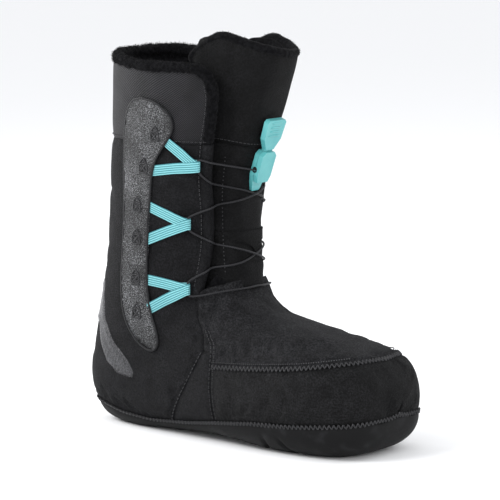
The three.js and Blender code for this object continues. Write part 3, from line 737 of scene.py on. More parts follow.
def settle(piece, held, cap):
    """Swells a padded piece with a cloth simulation, by no more than cap millimetres.

    held is 1 where a point stays put.
    """
    scene = bpy.context.scene
    group = piece.vertex_groups.new(name="held")
    for k, weight in enumerate(held):
        group.add([k], float(weight), "REPLACE")
    before = np.empty(len(piece.data.vertices) * 3)
    piece.data.vertices.foreach_get("co", before)
    cloth = piece.modifiers.new("settle", "CLOTH")
    cloth.settings.mass = 0.1
    cloth.settings.vertex_group_mass = "held"
    cloth.settings.use_pressure = True
    cloth.settings.uniform_pressure_force = SETTLE_PRESSURE
    cloth.settings.shrink_min = -SETTLE_SLACK
    cloth.settings.effector_weights.gravity = 0
    cloth.point_cache.frame_start = 1
    cloth.point_cache.frame_end = SETTLE_FRAMES
    for number in range(1, SETTLE_FRAMES + 1):
        scene.frame_set(number)
    shaped = piece.evaluated_get(bpy.context.evaluated_depsgraph_get()).to_mesh()
    after = np.empty(len(before))
    shaped.vertices.foreach_get("co", after)
    piece.modifiers.remove(cloth)
    piece.vertex_groups.remove(group)
    move = (after - before).reshape(-1, 3)
    length = np.linalg.norm(move, axis=1, keepdims=True)
    move = move * np.minimum(1, cap / 1000 / np.maximum(length, 1e-9))
    piece.data.vertices.foreach_set("co", (before + move.ravel()))
    piece.data.update()
    scene.frame_set(1)


def puffed(crown, width, sink=0.5, fold=0.25, fold_size=22, seed=1):
    """Cloth over foam: it sinks at its seams and swells between them, with faint folds."""
    def relief(points, edge):
        swell = 1 - np.exp(-((edge / width) ** 1.3))
        folds = wander(points, fold_size, seed) + 0.5 * wander(points, fold_size / 3, seed + 5)
        return crown * swell - sink * np.exp(-edge / 1.2) + fold * folds * swell
    return relief


# ----------------------------------------------------------------- stitching

OVERLOCK_DEPTH = -0.3
OVERLOCK_WIDTH = 3.6
OVERLOCK_PITCH = 3.4
OVERLOCK_RADIUS = 0.5
OVERLOCK_STEP = 0.55


def stitch_row(name, path, out, length=2.4, gap=1.1, radius=0.34, body="liner"):
    """A row of short stitches along a path; each dips into the cloth at both ends."""
    run = run_along(path)
    places = np.array([0, 0.15, 0.5, 0.85, 1])
    sizes = np.array([0.25, 0.85, 1.0, 0.85, 0.25])[:, None, None] * radius
    lifts = np.array([-0.7, 0.0, 0.35, 0.0, -0.7])[:, None] * radius
    parts = []
    for start in np.arange(0.3, run[-1] - length, length + gap):
        at = start + length * places
        up = read_off(at, run, out)
        parts.append(sweep(read_off(at, run, path) + up * lifts, up, circle(1, 6) * sizes))
    make(name, join(parts), "thread", body=body)


def form_stitches(name, params, depth, **details):
    stitch_row(name, form_point(params, depth), outward(params), **details)


def overlock(name, params):
    """One thread that crosses a seam from side to side, over its edge."""
    path = resample(np.concatenate([form_point(params, OVERLOCK_DEPTH), outward(params)], axis=1),
                    OVERLOCK_PITCH / 2)
    centre, out = path[:, :3], unit(path[:, 3:])
    across = np.cross(unit(np.gradient(centre, axis=0)), out)
    side = np.where(np.arange(len(centre)) % 2 == 0, 1.0, -1.0)[:, None]
    corners = centre + across * side * OVERLOCK_WIDTH / 2
    line = resample(corners, OVERLOCK_STEP)
    lifts = resample(np.concatenate([corners, out], axis=1), OVERLOCK_STEP)[:, 3:]
    lifts = read_off(np.linspace(0, 1, len(line)), np.linspace(0, 1, len(lifts)), lifts)
    line[1:-1] = (line[:-2] + 2 * line[1:-1] + line[2:]) / 4
    make(name, sweep(line, unit(lifts), circle(OVERLOCK_RADIUS, 6)), "thread")


def mirrored(params):
    """The same line on the other side, so that the two together run right round."""
    return params[::-1] * (1, -1)


def round_back(params):
    """The same line on the other side, with its angle counted on past the sole or back."""
    return mirrored(params) + (0, 2 * math.pi)


def column(angle, start, end):
    """(ring, angle) pairs along the form at one angle."""
    count = max(int(abs(end - start) / 0.06), 2)
    return np.stack([np.linspace(start, end, count), np.full(count, float(angle))], axis=1)


def line_height(line, x):
    return np.interp(x, [p[0] for p in line], [p[1] for p in line])


# -------------------------------------------------------------- sole and rand

SEAM_LINE = resample(SOLE_SEAM, 1.5)
sole_line = trace(SEAM_LINE)

# Each flex groove's place along x, and how many degrees it is turned.
GROOVES = [(42, 18), (92, -24)]


def sole_relief(points, edge):
    """Rounded bumper with slanted flex grooves and a flat tread."""
    bulge = 0.5 * (1 - np.exp(-edge / 2.5)) - 0.6 * np.exp(-edge / 1.0)
    for x, slant in GROOVES:
        turn = math.radians(slant)
        away = (points[:, 0] - x) * math.cos(turn) + points[:, 1] * math.sin(turn)
        depth = smooth(16, 5, points[:, 2])
        bulge = bulge - 2.2 * np.exp(-((away / 1.5) ** 2)) * depth
    return bulge + 0.12 * wander(points, 9, 3)


sole = panel("sole", np.concatenate([sole_line[:-1], round_back(sole_line)[1:]]), "sole_rubber",
             sole_relief, depth=0.3, inner=2.4, spacing=1.5, replaces=["outsole"])
for vertex in sole.data.vertices:
    vertex.co.z = max(vertex.co.z, 0.0)

vamp_line = trace(curve_through(VAMP_SEAM, 1.5))
rand_low = trace([p for p in SEAM_LINE if p[0] >= 12])
rand_back = trace(resample([(9, 56.5), (9, 40), (12, 17)], 1.5))
nose_low = column(math.pi, rand_low[-1][0], -1)
nose_across = np.stack([np.full(30, -1.0), np.linspace(-math.pi, math.pi, 30)], axis=1)
rand_outline = np.concatenate([
    vamp_line, mirrored(vamp_line)[1:], rand_back[1:] * (1, -1), rand_low[1:] * (1, -1),
    nose_low[1:] * (1, -1), nose_across, nose_low[::-1][1:], rand_low[::-1][1:],
    rand_back[::-1][1:-1],
])
rand_seams = [vamp_line, mirrored(vamp_line), rand_back, rand_back * (1, -1), rand_low,
              rand_low * (1, -1)]
panel("rand", rand_outline, "rand_fabric", puffed(0.9, 5, fold=0.3, fold_size=26, seed=2),
      depth=0.5, seams=rand_seams, swell=0.7, replaces=["toe_rand"], fill=0.6)

throat_line = trace(resample(THROAT[::-1], 1.5))
vamp_side = trace(resample([(9, 57), (9, 66), (0.7, 67.3), *FRONT_EDGE[:4], (-9.8, 108)], 1.5))
panel("vamp_upper", np.concatenate([
    vamp_line, mirrored(vamp_line)[1:], vamp_side[1:] * (1, -1), throat_line[1:] * (1, -1),
    throat_line[::-1][1:], vamp_side[::-1][1:-1],
]), "lit_vamp_fabric", puffed(-2.6, 15, sink=0.6, fold=0.5, fold_size=24, seed=4), depth=0.3,
    inner=5.2, swell=0.9, seams=[vamp_line, mirrored(vamp_line), vamp_side, vamp_side * (1, -1)],
    replaces=["vamp"], fill=0.6)

# ------------------------------------------------------- quarters and gussets

gusset_front = resample([(0.4, 67), (9, 66), (9, 40), (11.7, 16.5)], 1.5)
gusset_back = resample([(-34, 10.5), (-13, 45), (0.4, 67)], 1.5)
gusset_line = np.concatenate([
    gusset_back, gusset_front[1:], [p for p in SEAM_LINE[::-1] if -33 <= p[0] <= 11],
])
cuff_seam = resample([(-160, 215), (1, 216)], 1.5)
low_back = trace([p for p in SEAM_LINE if p[0] <= -34])[::-1]
cuff_line = trace(cuff_seam)
back_seam = column(math.pi, low_back[-1][0], cuff_line[0][0])
quarter_front = trace(np.concatenate([
    resample(FRONT_EDGE[::-1], 1.5), resample([(-1, 78), (0.4, 67)], 1.5)[1:],
    gusset_back[::-1][1:],
]))
quarter_outline = np.concatenate([low_back, back_seam[1:-1], cuff_line, quarter_front[1:-1]])
for label, side in SIDES:
    flip = (1, side)
    panel(f"quarter_cloth_{label}", quarter_outline * flip, "knit_fabric",
          puffed(1.0, 7, fold=0.4, fold_size=28, seed=6 + side), depth=0.5,
          swell=0.6, replaces=[f"quarter_{label}"], fill=0.6)
    panel(f"gusset_cloth_{label}", trace(gusset_line) * flip, "knit_fabric",
          puffed(0.8, 4, seed=9 + side), depth=0.5, replaces=[f"gusset_{label}"], fill=0.5)

# ------------------------------------------------------------------ cuff mesh

CUFF_FRONT = curve_through(CUFF_EDGE, 1.2)
front_params = trace(CUFF_FRONT)
rim_line = rim_params(120, front_params[-1][1], RIM_HEIGHT)
cuff_outline = np.concatenate([
    round_back(cuff_line), cuff_line[1:], front_params[1:],
    rim_line[1:-1], round_back(front_params)[:-1],
])
panel("cuff_cloth", cuff_outline[::-1], "mesh_fabric",
      puffed(1.1, 6, sink=0.2, fold=0.3, fold_size=30, seed=12), depth=0.3,
      replaces=["cuff_mesh"], fill=0.6)

heel_side = trace(resample(HEEL_OVERLAY, 1.2))
heel_top = trace(resample([(-150, 108), (-101, 108)], 1.2))
heel_low = trace(resample([(-108, 76), (-150, 78)], 1.2))
heel_half = np.concatenate([heel_top, heel_side[1:], heel_low[1:]])
heel_outline = np.concatenate([heel_half, round_back(heel_half)[1:-1]])


def film_relief(points, edge):
    return 0.5 * (1 - np.exp(-edge / 0.7)) + 0.5 * np.exp(-(((edge - 3.5) / 1.1) ** 2))


panel("heel_film_cloth", heel_outline, "heel_film", film_relief, depth=-0.9, inner=0.6,
      spacing=1.5, replaces=["heel_overlay"])


# ------------------------------------------------------ patches and the loops

def patch_relief(points, edge):
    """Flat bonded cloth with a moulded line just inside its edge."""
    line = np.exp(-(((edge - 1.6) / 0.55) ** 2))
    return 0.6 * (1 - np.exp(-edge / 0.6)) + 0.35 * line - 0.25 * np.exp(
        -(((edge - 2.9) / 0.6) ** 2))


def ribbed_strap(apex, anchor, side, lift):
    """A webbing strap that comes out from under the patch, folds round the lace and tucks back."""
    apex, anchor = np.array(apex, float), np.array(anchor, float)
    ahead = unit(apex - anchor)
    line = resample([anchor - ahead * 6, apex - ahead * 0.3], 0.8)
    params = trace(line, side)
    out = outward(params)
    t = np.linspace(0, 1, len(params))
    radius = 1.2 + lift
    rise = (-LACE_DEPTH - 1.2 + radius) * smooth(0.45, 1, t)
    top = form_point(params, -1.2 - rise)
    turn = np.linspace(0.3, math.pi, 8)[:, None]
    forward = np.cross(out[-1], (0, 0, 1)) * side
    centre = top[-1] - out[-1] * radius
    wrap = centre + forward * np.sin(turn) * radius + out[-1] * np.cos(turn) * radius
    under = wrap[-1] - forward * np.array([[1.5], [3.0], [4.5]])
    path = np.concatenate([top, wrap, under])
    outs = np.concatenate([
        out, out[-1] * np.cos(turn) + forward * np.sin(turn), np.repeat(-out[-1:], 3, axis=0),
    ])
    square = np.cross(unit(np.gradient(path, axis=0)), outs)
    square = unit(square) * np.sign(square[:, 2:])
    share = np.concatenate([smooth(0.3, 0.9, t), np.ones(11)])[:, None]
    narrow = np.concatenate([smooth(0.6, 1, t), np.ones(11)])[:, None]
    upright = np.array([[0, 0, 1.0]]) * (
        narrow + (1 - narrow) / np.maximum(square[:, 2:], 0.5))
    across = square * (1 - share) + upright * share
    u = np.linspace(-1, 1, 31)
    cords = 0.2 * np.abs(np.sin(u * math.pi * 2.5)) ** 0.6
    rim = 0.4 * np.sqrt(np.clip(1 - u**8, 0, 1))
    upper = np.stack([u * WEBBING_WIDTH / 2, rim + cords - 0.1], axis=1)
    lower = np.stack([u[::-1][1:-1] * WEBBING_WIDTH / 2, -0.35 * rim[1:-1]], axis=1)
    points, faces, cloth = sweep(path, outs, np.concatenate([upper, lower]), across)
    if (np.cross(unit(np.gradient(path, axis=0))[0], outs[0]) * across[0]).sum() < 0:
        faces = [face[::-1] for face in faces]
    return points, faces, cloth


def bar_tack(name, x, z, side):
    """A small box of stitches with a cross in it."""
    half = 3.4
    corners = [(x - half, z - half), (x + half, z - half), (x + half, z + half),
               (x - half, z + half), (x - half, z - half), (x + half, z + half)]
    peak = [(x - half, z + half), (x + 0.5, z + 2.2 * half), (x + half, z + half),
            (x - half, z + half), (x + half, z - half)]
    parts = []
    for stretch in (corners, peak):
        params = trace(resample(stretch, 0.6), side)
        path = form_point(params, -2.7)
        bumps = 1 + 0.3 * np.sin(np.arange(len(path)) * 2.1)[:, None, None]
        parts.append(sweep(path, outward(params), circle(0.52, 6)[None] * bumps))
    make(name, join(parts), "thread")


# Where the straps are sewn down through the patch, [x, z].
TACKS = [(-38, 221), (-50, 197), (-58, 168), (-60, 144), (-62, 114), (-62, 89)]
patch_curve = curve_through([*PATCH, PATCH[0]], 1.2)[:-1]
for label, side in SIDES:
    panel(f"lace_patch_cloth_{label}", trace(patch_curve, side), "heather_fabric",
          patch_relief, depth=-1.75, inner=0.4, spacing=1.2,
          replaces=[f"lace_patch_{label}"])
    for name, apex, upper, lower in LOOPS:
        straps = [ribbed_strap(apex, upper, side, 0.0), ribbed_strap(apex, lower, side, 0.6)]
        make(f"loop_webbing_{name}_{label}", join(straps), "webbing",
             replaces=[f"loop_{name}_{label}"])
    for k, (x, z) in enumerate(TACKS):
        bar_tack(f"bar_tack_{k + 1}_{label}", x, z, side)
    away = unit(patch_curve - np.mean(PATCH, axis=0)) * (1, 0.25)
    loop = patch_curve - away * 1.1
    params = trace(np.concatenate([loop, loop[:1]]), side)
    welt = sweep(form_point(params, -2.0), outward(params), circle(0.75, 8) * (1.3, 0.8))
    make(f"patch_welt_{label}", welt, "stiffener")


# --------------------------------------------------- fleece roll and bindings

def tufted(points, seed, depth):
    """Outward push for a pile of fleece: clumps and finer strands."""
    clump = wander(points, 3.2, seed) + 0.6 * wander(points, 1.5, seed + 3)
    return depth * clump


def pile(shape, out, count, length, seed, lean):
    """A shape with short curved fibres standing on it; out gives outward at each point."""
    points, faces, cloth = shape
    random = np.random.default_rng(seed)
    pick = random.integers(0, len(points), count)
    root = points[pick] + random.normal(0, 0.4, (count, 3))
    up = unit(out[pick] + random.normal(0, 0.35, (count, 3)) + np.asarray(lean))
    side = unit(np.cross(up, random.normal(0, 1, (count, 3))))
    tall = length * random.uniform(0.6, 1.2, (count, 1))
    bend = side * tall * random.uniform(-0.5, 0.5, (count, 1))
    wide = np.cross(side, up) * 0.1
    middle = root + up * tall * 0.55 + bend * 0.3
    tip = root + up * tall + bend
    blades = np.stack([root - up * 0.6 - wide, root - up * 0.6 + wide, middle + wide * 0.8,
                       middle - wide * 0.8, tip], axis=1).reshape(-1, 3)
    start = len(points) + 5 * np.arange(count)
    quads = np.stack([start, start + 1, start + 2, start + 3], axis=1).tolist()
    tips = np.stack([start + 3, start + 2, start + 4], axis=1).tolist()
    flat = np.repeat(cloth[pick], 5, axis=0)
    return np.concatenate([points, blades]), [*faces, *quads, *tips], np.concatenate([cloth, flat])


def fleece_tube(path, radius, sides, tuft, seed):
    """A tufted tube along a path, and which way is out at each of its points."""
    radius = np.broadcast_to(radius, len(path))
    points, faces, cloth = sweep(path, carried(path),
                                 circle(1, sides)[None] * radius[:, None, None])
    away = unit(points - np.repeat(path, sides, axis=0))
    points = points + away * tufted(points, seed, tuft)[:, None]
    return (points, faces, cloth), away


roll_sides = [resample(side_points([(x, z + 0.6) for x, z in CUFF_FRONT], side, 3.5), 1.2)
              for side in (-1, 1)]
roll_back = form_point(rim_params(90, 1.2, RIM_HEIGHT + 0.6), 3.5)[::-1]
roll_path = curve_through(np.concatenate([
    roll_sides[0][::6], roll_back[2:-2:6], roll_sides[1][::-1][::6],
]), 1.2)
roll_path[:, 2] -= 1.5 * smooth(30, -30, roll_path[:, 1]) * smooth(245, 268, roll_path[:, 2])
lump = np.exp(-(((roll_path - (-98, -26, 275)) ** 2).sum(axis=1) / 14**2))
roll_size = (4.5 + 0.5 * smooth(0, 40, roll_path[:, 1]) + 0.3 * lump) * smooth(
    206, 222, roll_path[:, 2]) ** 0.4
roll, away = fleece_tube(roll_path, roll_size, 28, 0.75, 21)
make("collar_fleece", pile(roll, away, 24000, 1.15, 21, (0, 0, 0.2)), "fleece",
     replaces=["collar_roll"], fill=0.8)

EDGE_CURVE = curve_through(FRONT_EDGE[2:], 1.2)
for label, side in SIDES:
    path = resample(side_points(EDGE_CURVE, side, 3.5), 1.2)
    path = path[path[:, 2] > 104]
    along = np.linspace(0, 1, len(path))
    swell = 1 - 0.25 * np.exp(-along / 0.05)
    ripple = 1 + 0.05 * np.array([noise.noise(Vector((0, side * 3, 26 * t))) for t in along])
    sections = circle(BINDING_RADIUS, 20)[None] * (swell * ripple)[:, None, None]
    make(f"edge_roll_{label}", sweep(path, carried(path), sections), "knit_fabric",
         replaces=[f"edge_binding_{label}"], fill=0.7)

# ---------------------------------------------------------- lining and footbed

LINING_ROWS = 150
LINING_COLUMNS = 120
open_line = trace(np.concatenate([resample(FRONT_EDGE[2:], 1.5), CUFF_FRONT[1:]]))


def lining_grid(depth):
    """The lining's (ring, angle) pairs and points: whole rings at the foot, open up the leg."""
    rings = np.concatenate([[-1, -0.7, -0.4, -0.15], np.linspace(0, LAST, LINING_ROWS - 4)])
    front = np.where(rings < open_line[0][0], 0.0,
                     np.interp(rings, open_line[:, 0], open_line[:, 1]) + 0.06)
    t = np.linspace(0, 1, LINING_COLUMNS)
    angles = front[:, None] + t[None] * (2 * math.pi - 2 * front[:, None])
    rings = np.repeat(rings[:, None], LINING_COLUMNS, axis=1)
    params = np.stack([rings, angles], axis=-1).reshape(-1, 2)
    surface = form_point(params, depth)
    surface[:, 2] = np.minimum(surface[:, 2], RIM_HEIGHT + rim_rise(surface))
    return params, surface


lining_params, lining_points = lining_grid(LINING_DEPTH)
away = unit(lining_points - form_point(lining_params, LINING_DEPTH - 1))
floor = np.array([line_height(SOLE_TOP, x) for x in lining_points[:, 0]]) + 3.6
lining_points = lining_points + away * tufted(lining_points, 31, 0.5)[:, None]
lining_points[:, 2] = np.maximum(lining_points[:, 2], floor)
lining_faces = flipped(grid_faces(LINING_ROWS, LINING_COLUMNS))
leg_part = np.flatnonzero(lining_points[:, 2] > 150)
lining_cloth = lining_params * (RING_STEP, TURN_STEP)
fibres = pile((lining_points[leg_part], [], lining_cloth[leg_part]), away[leg_part], 14000, 2.2,
              33, (0, 0, -0.3))
lining_shape = join([
    (lining_points, lining_faces, lining_cloth),
    (fibres[0][len(leg_part):], [[i - len(leg_part) for i in face] for face in fibres[1]],
     fibres[2][len(leg_part):]),
])
make("fleece_lining", lining_shape, "fleece", fill=0.4,
     replaces=["lining", "foam_shell", "ankle_pad_lateral", "ankle_pad_medial"])

BED_FROM, BED_TO = -113, 125
bed_x = np.linspace(BED_FROM, BED_TO, 90)
bed_half, bed_middle = [], []
for x in bed_x:
    u, angle, _ = side_param(x, line_height(SOLE_TOP, x) + 9)
    right = form_point(np.array([(u, angle), (u, -angle)]), 8.4)
    bed_half.append((right[0][1] - right[1][1]) / 2)
    bed_middle.append((right[0][1] + right[1][1]) / 2)
ends = np.clip(np.minimum(bed_x - BED_FROM, BED_TO - bed_x) / 12, 0, 1)
bed_half = np.array(bed_half) * np.sqrt(1 - (1 - ends) ** 2)
t = np.linspace(-1, 1, 31)
base = np.array([line_height(SOLE_TOP, x) for x in bed_x])
cup = 1.8 * smooth(0.55, 1, np.abs(t))[None] * smooth(0, -60, bed_x)[:, None]
arch = 3.0 * smooth(0.3, 1, t)[None] * np.exp(-((bed_x + 20) / 32) ** 2)[:, None]
top = np.stack([
    np.repeat(bed_x[:, None], 31, axis=1),
    np.array(bed_middle)[:, None] + bed_half[:, None] * t[None],
    base[:, None] + 7.2 + cup + arch,
], axis=-1).reshape(-1, 3)
bottom = top.copy()
bottom[:, 2] = np.repeat(base, 31) + 4.4
both = np.concatenate([top, bottom])
make("footbed_pad", (both, flipped(slab_faces(90, 31)), both[:, :2]), "foam", body="footbed",
     replaces=["footbed"], fill=0.5)


# --------------------------------------------------------------------- tongue

def tongue_column(z, index):
    """The tongue's front or half width at a height, with the table's corners smoothed."""
    return sum(np.interp(z + offset, TONGUE[:, 0], TONGUE[:, index])
               for offset in (-9, -6, -3, 0, 3, 6, 9)) / 7


def tongue_point(turn, z, depth):
    """Points on the tongue: turn runs from -pi/2 on the -Y side to pi/2."""
    along = np.maximum(np.cos(turn), 0) ** (2 / TONGUE_POWER)
    across = signed_power(np.sin(turn), 2 / TONGUE_POWER)
    front = tongue_column(z, 1)
    half = tongue_column(z, 2)
    return np.stack([
        TONGUE_EDGE + (front - depth - TONGUE_EDGE) * along, (half - depth) * across, z,
    ], axis=-1)


def tongue_face(y, z, lift=0.0):
    """How far forward the tongue's face reaches at a distance across it."""
    across = np.clip(np.abs(y) / tongue_column(z, 2), 0, 1)
    front = tongue_column(z, 1) + lift
    return TONGUE_EDGE + (front - TONGUE_EDGE) * (1 - across**TONGUE_POWER) ** (1 / TONGUE_POWER)


def tongue_top(turn, depth):
    """How high the tongue reaches at each turn round its section."""
    z = np.full_like(turn, 287.0)
    for _ in range(4):
        place = tongue_point(turn, z, depth)
        z = np.interp(place[..., 0], [-18, -13, -6, 14, 60], [276, 286, 289, 289, 274])
        z = z + 3.8 * smooth(16, -20, place[..., 1])
    return z


def tongue_seam(turn):
    """The seam between the lower and the upper cover dips a little at the front."""
    return 218 - 5 * np.cos(turn) ** 2


TURNS = np.linspace(-math.pi / 2, math.pi / 2, 81)


def tongue_shell(name, low, high, finish, outer, inner, relief, rows, replaces, fill, seams=()):
    """A closed layer of the tongue between two heights, which may vary round it.

    outer and inner are the depths of its two faces. relief pushes the first one away from
    the second, from each point's place and its height above or below the nearest seam.
    """
    t = np.linspace(0, 1, rows)[:, None]
    z = low[None] + (high - low)[None] * t
    turn = np.repeat(TURNS[None], rows, axis=0)
    base = tongue_point(turn, z, 0.0)
    edge = np.full(z.shape, 99.0)
    for line in seams:
        edge = np.minimum(edge, np.abs(z - line[None]))
    puff = relief(base.reshape(-1, 3), edge.ravel()).reshape(z.shape)
    sign = 1 if outer < inner else -1
    first = tongue_point(turn, z, outer - sign * puff).reshape(-1, 3)
    second = tongue_point(turn, z, np.full(z.shape, inner)).reshape(-1, 3)
    faces = slab_faces(rows, len(TURNS))
    if sign < 0:
        faces = flipped(faces)
    cloth = np.stack([turn * 30, z], axis=-1).reshape(-1, 2)
    shape = np.concatenate([first, second]), faces, np.concatenate([cloth, cloth])
    make(name, shape, finish, body="tongue", replaces=replaces, fill=fill)


def lock_track(points):
    """1 where the lock slides, so that the cloth there can lie a little lower."""
    return (np.exp(-((points[:, 1] / 12) ** 6)) * smooth(198, 208, points[:, 2])
            * smooth(262, 250, points[:, 2]))


def tongue_relief(points, edge):
    """Soft cloth that sinks at its seams, creased low down where the ankle bends it."""
    swell = 1 - np.exp(-((edge / 5) ** 1.3))
    flank = np.exp(-(((np.abs(points[:, 1]) - tongue_column(points[:, 2], 2) + 2.6) / 0.9) ** 2))
    crease = np.sin((points[:, 2] - 0.18 * np.abs(points[:, 1])) / 2.1) * np.exp(
        -(((points[:, 2] - 128) / 14) ** 2))
    return (0.7 * swell - 0.7 * np.exp(-edge / 1.2) - 0.5 * flank + 0.35 * crease
            + 0.4 * wander(points, 20, 41) - 0.9 * lock_track(points))


bottom_z = np.full_like(TURNS, TONGUE_BOTTOM)
seam_z = tongue_seam(TURNS)
top_z = tongue_top(TURNS, 0.0)
# The tongue's cloth takes the darker copy of the vamp's black fabric: painted shade.
tongue_shell("tongue_cloth_lower", bottom_z, seam_z - 0.2, "tongue_fabric", 0.3, 1.5,
             tongue_relief, 90, ["tongue_cover_lower"], 0.6, [seam_z])
tongue_shell("tongue_cloth_upper", seam_z + 0.2, top_z, "tongue_fabric", 0.3, 1.5,
             tongue_relief, 60, ["tongue_cover_upper"], 0.6, [seam_z, top_z])
tongue_shell("tongue_pad", bottom_z, top_z, "tongue_fabric", 1.5, 6.1,
             lambda points, edge: 0 * edge, 80, ["tongue_foam"], 0.7)


def lining_relief(points, edge):
    bump = 1.6 * np.exp(-(((points[:, 2] - 262) / 16) ** 2)) * np.exp(
        -(((np.abs(points[:, 1]) - 15) / 9) ** 2))
    return tufted(points, 43, 0.45) + bump


tongue_shell("tongue_fleece", bottom_z, top_z, "fleece", 7.2, 6.1, lining_relief, 110,
             ["tongue_lining"], 0.5)

# Cloth that joins the tongue to the vamp: it leaves the vamp at the throat and turns up
# on a curve with a set direction at each end, and nowhere lies behind the tongue's face.
BELLOW_TOP = 152
BELLOW_ROWS = 40
BELLOW_COLUMNS = 61
across = np.linspace(-1, 1, BELLOW_COLUMNS)
low_angle = throat_line[-1][1] * across
low_ring = np.interp(np.abs(low_angle), throat_line[::-1][:, 1][::-1], throat_line[:, 0])
low_params = np.stack([low_ring, low_angle], axis=1)
low_params[:, 0] -= 0.12
start = form_point(low_params, 2.2)
start_way = unit(unit(form_point(low_params + (0.05, 0), 2.2) - start) + (0, 0, 0.9))
bellow_turn = across * math.pi / 2 * 0.93
finish_z = np.full(BELLOW_COLUMNS, float(BELLOW_TOP))
finish = tongue_point(bellow_turn, finish_z, -1.2)
finish_way = unit(tongue_point(bellow_turn, finish_z + 1, -1.2) - finish)
reach = np.linalg.norm(finish - start, axis=1)[:, None] * 0.8
t = np.linspace(0, 1, BELLOW_ROWS)[:, None, None]
bellow = (start * (1 + 2 * t) * (1 - t) ** 2 + start_way * reach * t * (1 - t) ** 2
          + finish * t**2 * (3 - 2 * t) - finish_way * reach * t**2 * (1 - t))
bellow = bellow.reshape(-1, 3)
bellow[:, 0] = np.maximum(bellow[:, 0], tongue_face(bellow[:, 1], bellow[:, 2], 1.6))
crease = np.sin((bellow[:, 2] + 0.3 * np.abs(bellow[:, 1])) / 1.3) * np.exp(
    -(((bellow[:, 2] - 128) / 9) ** 2))
front = np.array([1.0, 0, 0.4])
bellow = bellow + front * (0.45 * crease + 0.4 * wander(bellow, 14, 61))[:, None]
cloth = flat_places(np.arange(BELLOW_ROWS) * 0.8, across * 26)
shape = (np.concatenate([bellow, bellow - front * 1.2]),
         slab_faces(BELLOW_ROWS, BELLOW_COLUMNS), np.concatenate([cloth, cloth]))
# The throat cloth takes the tongue's darker copy of the fabric: painted shade.
piece = make("throat_cloth", shape, "tongue_fabric", body=None, fill=0.5)
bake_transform(piece)

trim_turns = np.linspace(math.pi / 2, -math.pi / 2, 60)
trim_top = tongue_point(trim_turns, tongue_top(trim_turns, 2.9), 2.9)
down = np.linspace(262, trim_top[0][2], 6)[:-1]
legs = [np.stack([np.full(5, TONGUE_EDGE - 0.5), np.full(5, side * trim_top[0][1]), down], axis=1)
        for side in (1, -1)]
trim_path = curve_through(np.concatenate([legs[0][::2], trim_top[::5], trim_top[-1:],
                                          legs[1][::-1][::2]]), 1.2)
ripple = 1 + 0.04 * wander(trim_path, 7, 47)
trim, away = fleece_tube(trim_path, 3.3 * ripple, 22, 0.3, 49)
make("tongue_binding", pile(trim, away, 5000, 0.45, 51, (0, 0, 0)), "fleece", body="tongue",
     replaces=["tongue_trim"], fill=0.7)


def tongue_line(turns, heights, depth):
    path = tongue_point(turns, heights, depth)
    return path, unit(tongue_point(turns, heights, depth - 1) - path)


path, out = tongue_line(TURNS[6:-6], tongue_seam(TURNS[6:-6]) + 2.2, -0.1)
path = path - out * 0.9 * lock_track(path)[:, None]
stitch_row("tongue_seam_stitches", path, out, length=2.0, gap=0.9, radius=0.3, body="tongue")
for label, side in SIDES:
    heights = np.linspace(122, 210, 70)
    half = tongue_column(heights, 2)
    turns = side * np.arcsin(np.clip((half - 2.6) / half, 0, 1) ** (TONGUE_POWER / 2))
    path, out = tongue_line(turns, heights, -0.1)
    stitch_row(f"tongue_flank_stitches_{label}", path, out, length=1.3, gap=1.6, radius=0.35,
               body="tongue")

# ----------------------------------------------------------------------- lock

LOCK_TILT = math.atan(0.35)
lock_up = np.array([math.sin(LOCK_TILT), 0, math.cos(LOCK_TILT)])
lock_out = np.array([math.cos(LOCK_TILT), 0, -math.sin(LOCK_TILT)])
lock_origin = np.array([17.2, 0, 198])


def lock_point(across, up, out):
    return lock_origin + lock_up * up + lock_out * out + np.array([0, across, 0])


# CAD pieces that stay as they are, with their edges rounded.
for name, finish, round_by in (
    ("lock_base", "lock_plastic", 0.7), ("lock_cover", "lock_plastic", 1.1),
    ("pull_handle", "lock_plastic", 1.2), ("heel_counter", "stiffener", 0.4),
    ("tongue_plate", "stiffener", 0.3), ("sole_board", "board", 0.3),
):
    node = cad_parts[name]
    for slot in node.material_slots:
        slot.material = FINISHES[finish]
    bevel = node.modifiers.new("rounded edges", "BEVEL")
    bevel.width = round_by / 1000
    bevel.segments = 3
    bevel.limit_method = "ANGLE"
    bevel.angle_limit = math.radians(35)


def lock_bar(across_from, across_to, up, out, radius):
    path = np.linspace(lock_point(across_from, up, out), lock_point(across_to, up, out), 9)
    taper = np.sqrt(np.clip(1 - np.linspace(-1, 1, 9) ** 4, 0.05, 1))
    return sweep(path, np.repeat(lock_out[None], 9, axis=0),
                 circle(radius, 10)[None] * taper[:, None, None])


bars = [lock_bar(-6.5 + k * 0.2, 6.5 - k * 0.2, 27 + 3.2 * k, 5.9, 0.75) for k in range(4)]
make("handle_grip_ribs", join(bars), "lock_plastic", body="handle")

ring_turn = np.linspace(0, 2 * math.pi, 25)[:-1]
eyelets = []
for side in (-1, 1):
    centre = lock_point(side * 7.8, 0, 3.4)
    loop = centre + np.outer(np.cos(ring_turn), lock_up) * 1.7 + np.outer(
        np.sin(ring_turn), lock_out) * 1.5
    loop = np.concatenate([loop, loop[:1]])
    eyelets.append(sweep(loop, unit(loop - centre), circle(0.5, 8)))
make("lock_ports", join(eyelets), "stiffener", body="lock")

# ----------------------------------------------------------------------- lace

LACE_OUT = 3.4
STRAND_GAP = 2.4


def over_tongue(start, end, lift):
    """Points between two ends of a strand that lies over the face of the tongue."""
    points = []
    for t in np.linspace(0, 1, 11)[1:-1]:
        p = start + (end - start) * t
        rise = 1.6 + 0.04 * abs(p[1]) + lift * max(1 - abs(p[1]) / 14, 0)
        points.append(np.array([max(p[0], tongue_face(p[1], p[2]) + rise), p[1], p[2]]))
    return points


def side_place(x, z, side, depth):
    u, angle, _ = side_param(x, z)
    return form_point(np.array([u, side * angle]), depth)


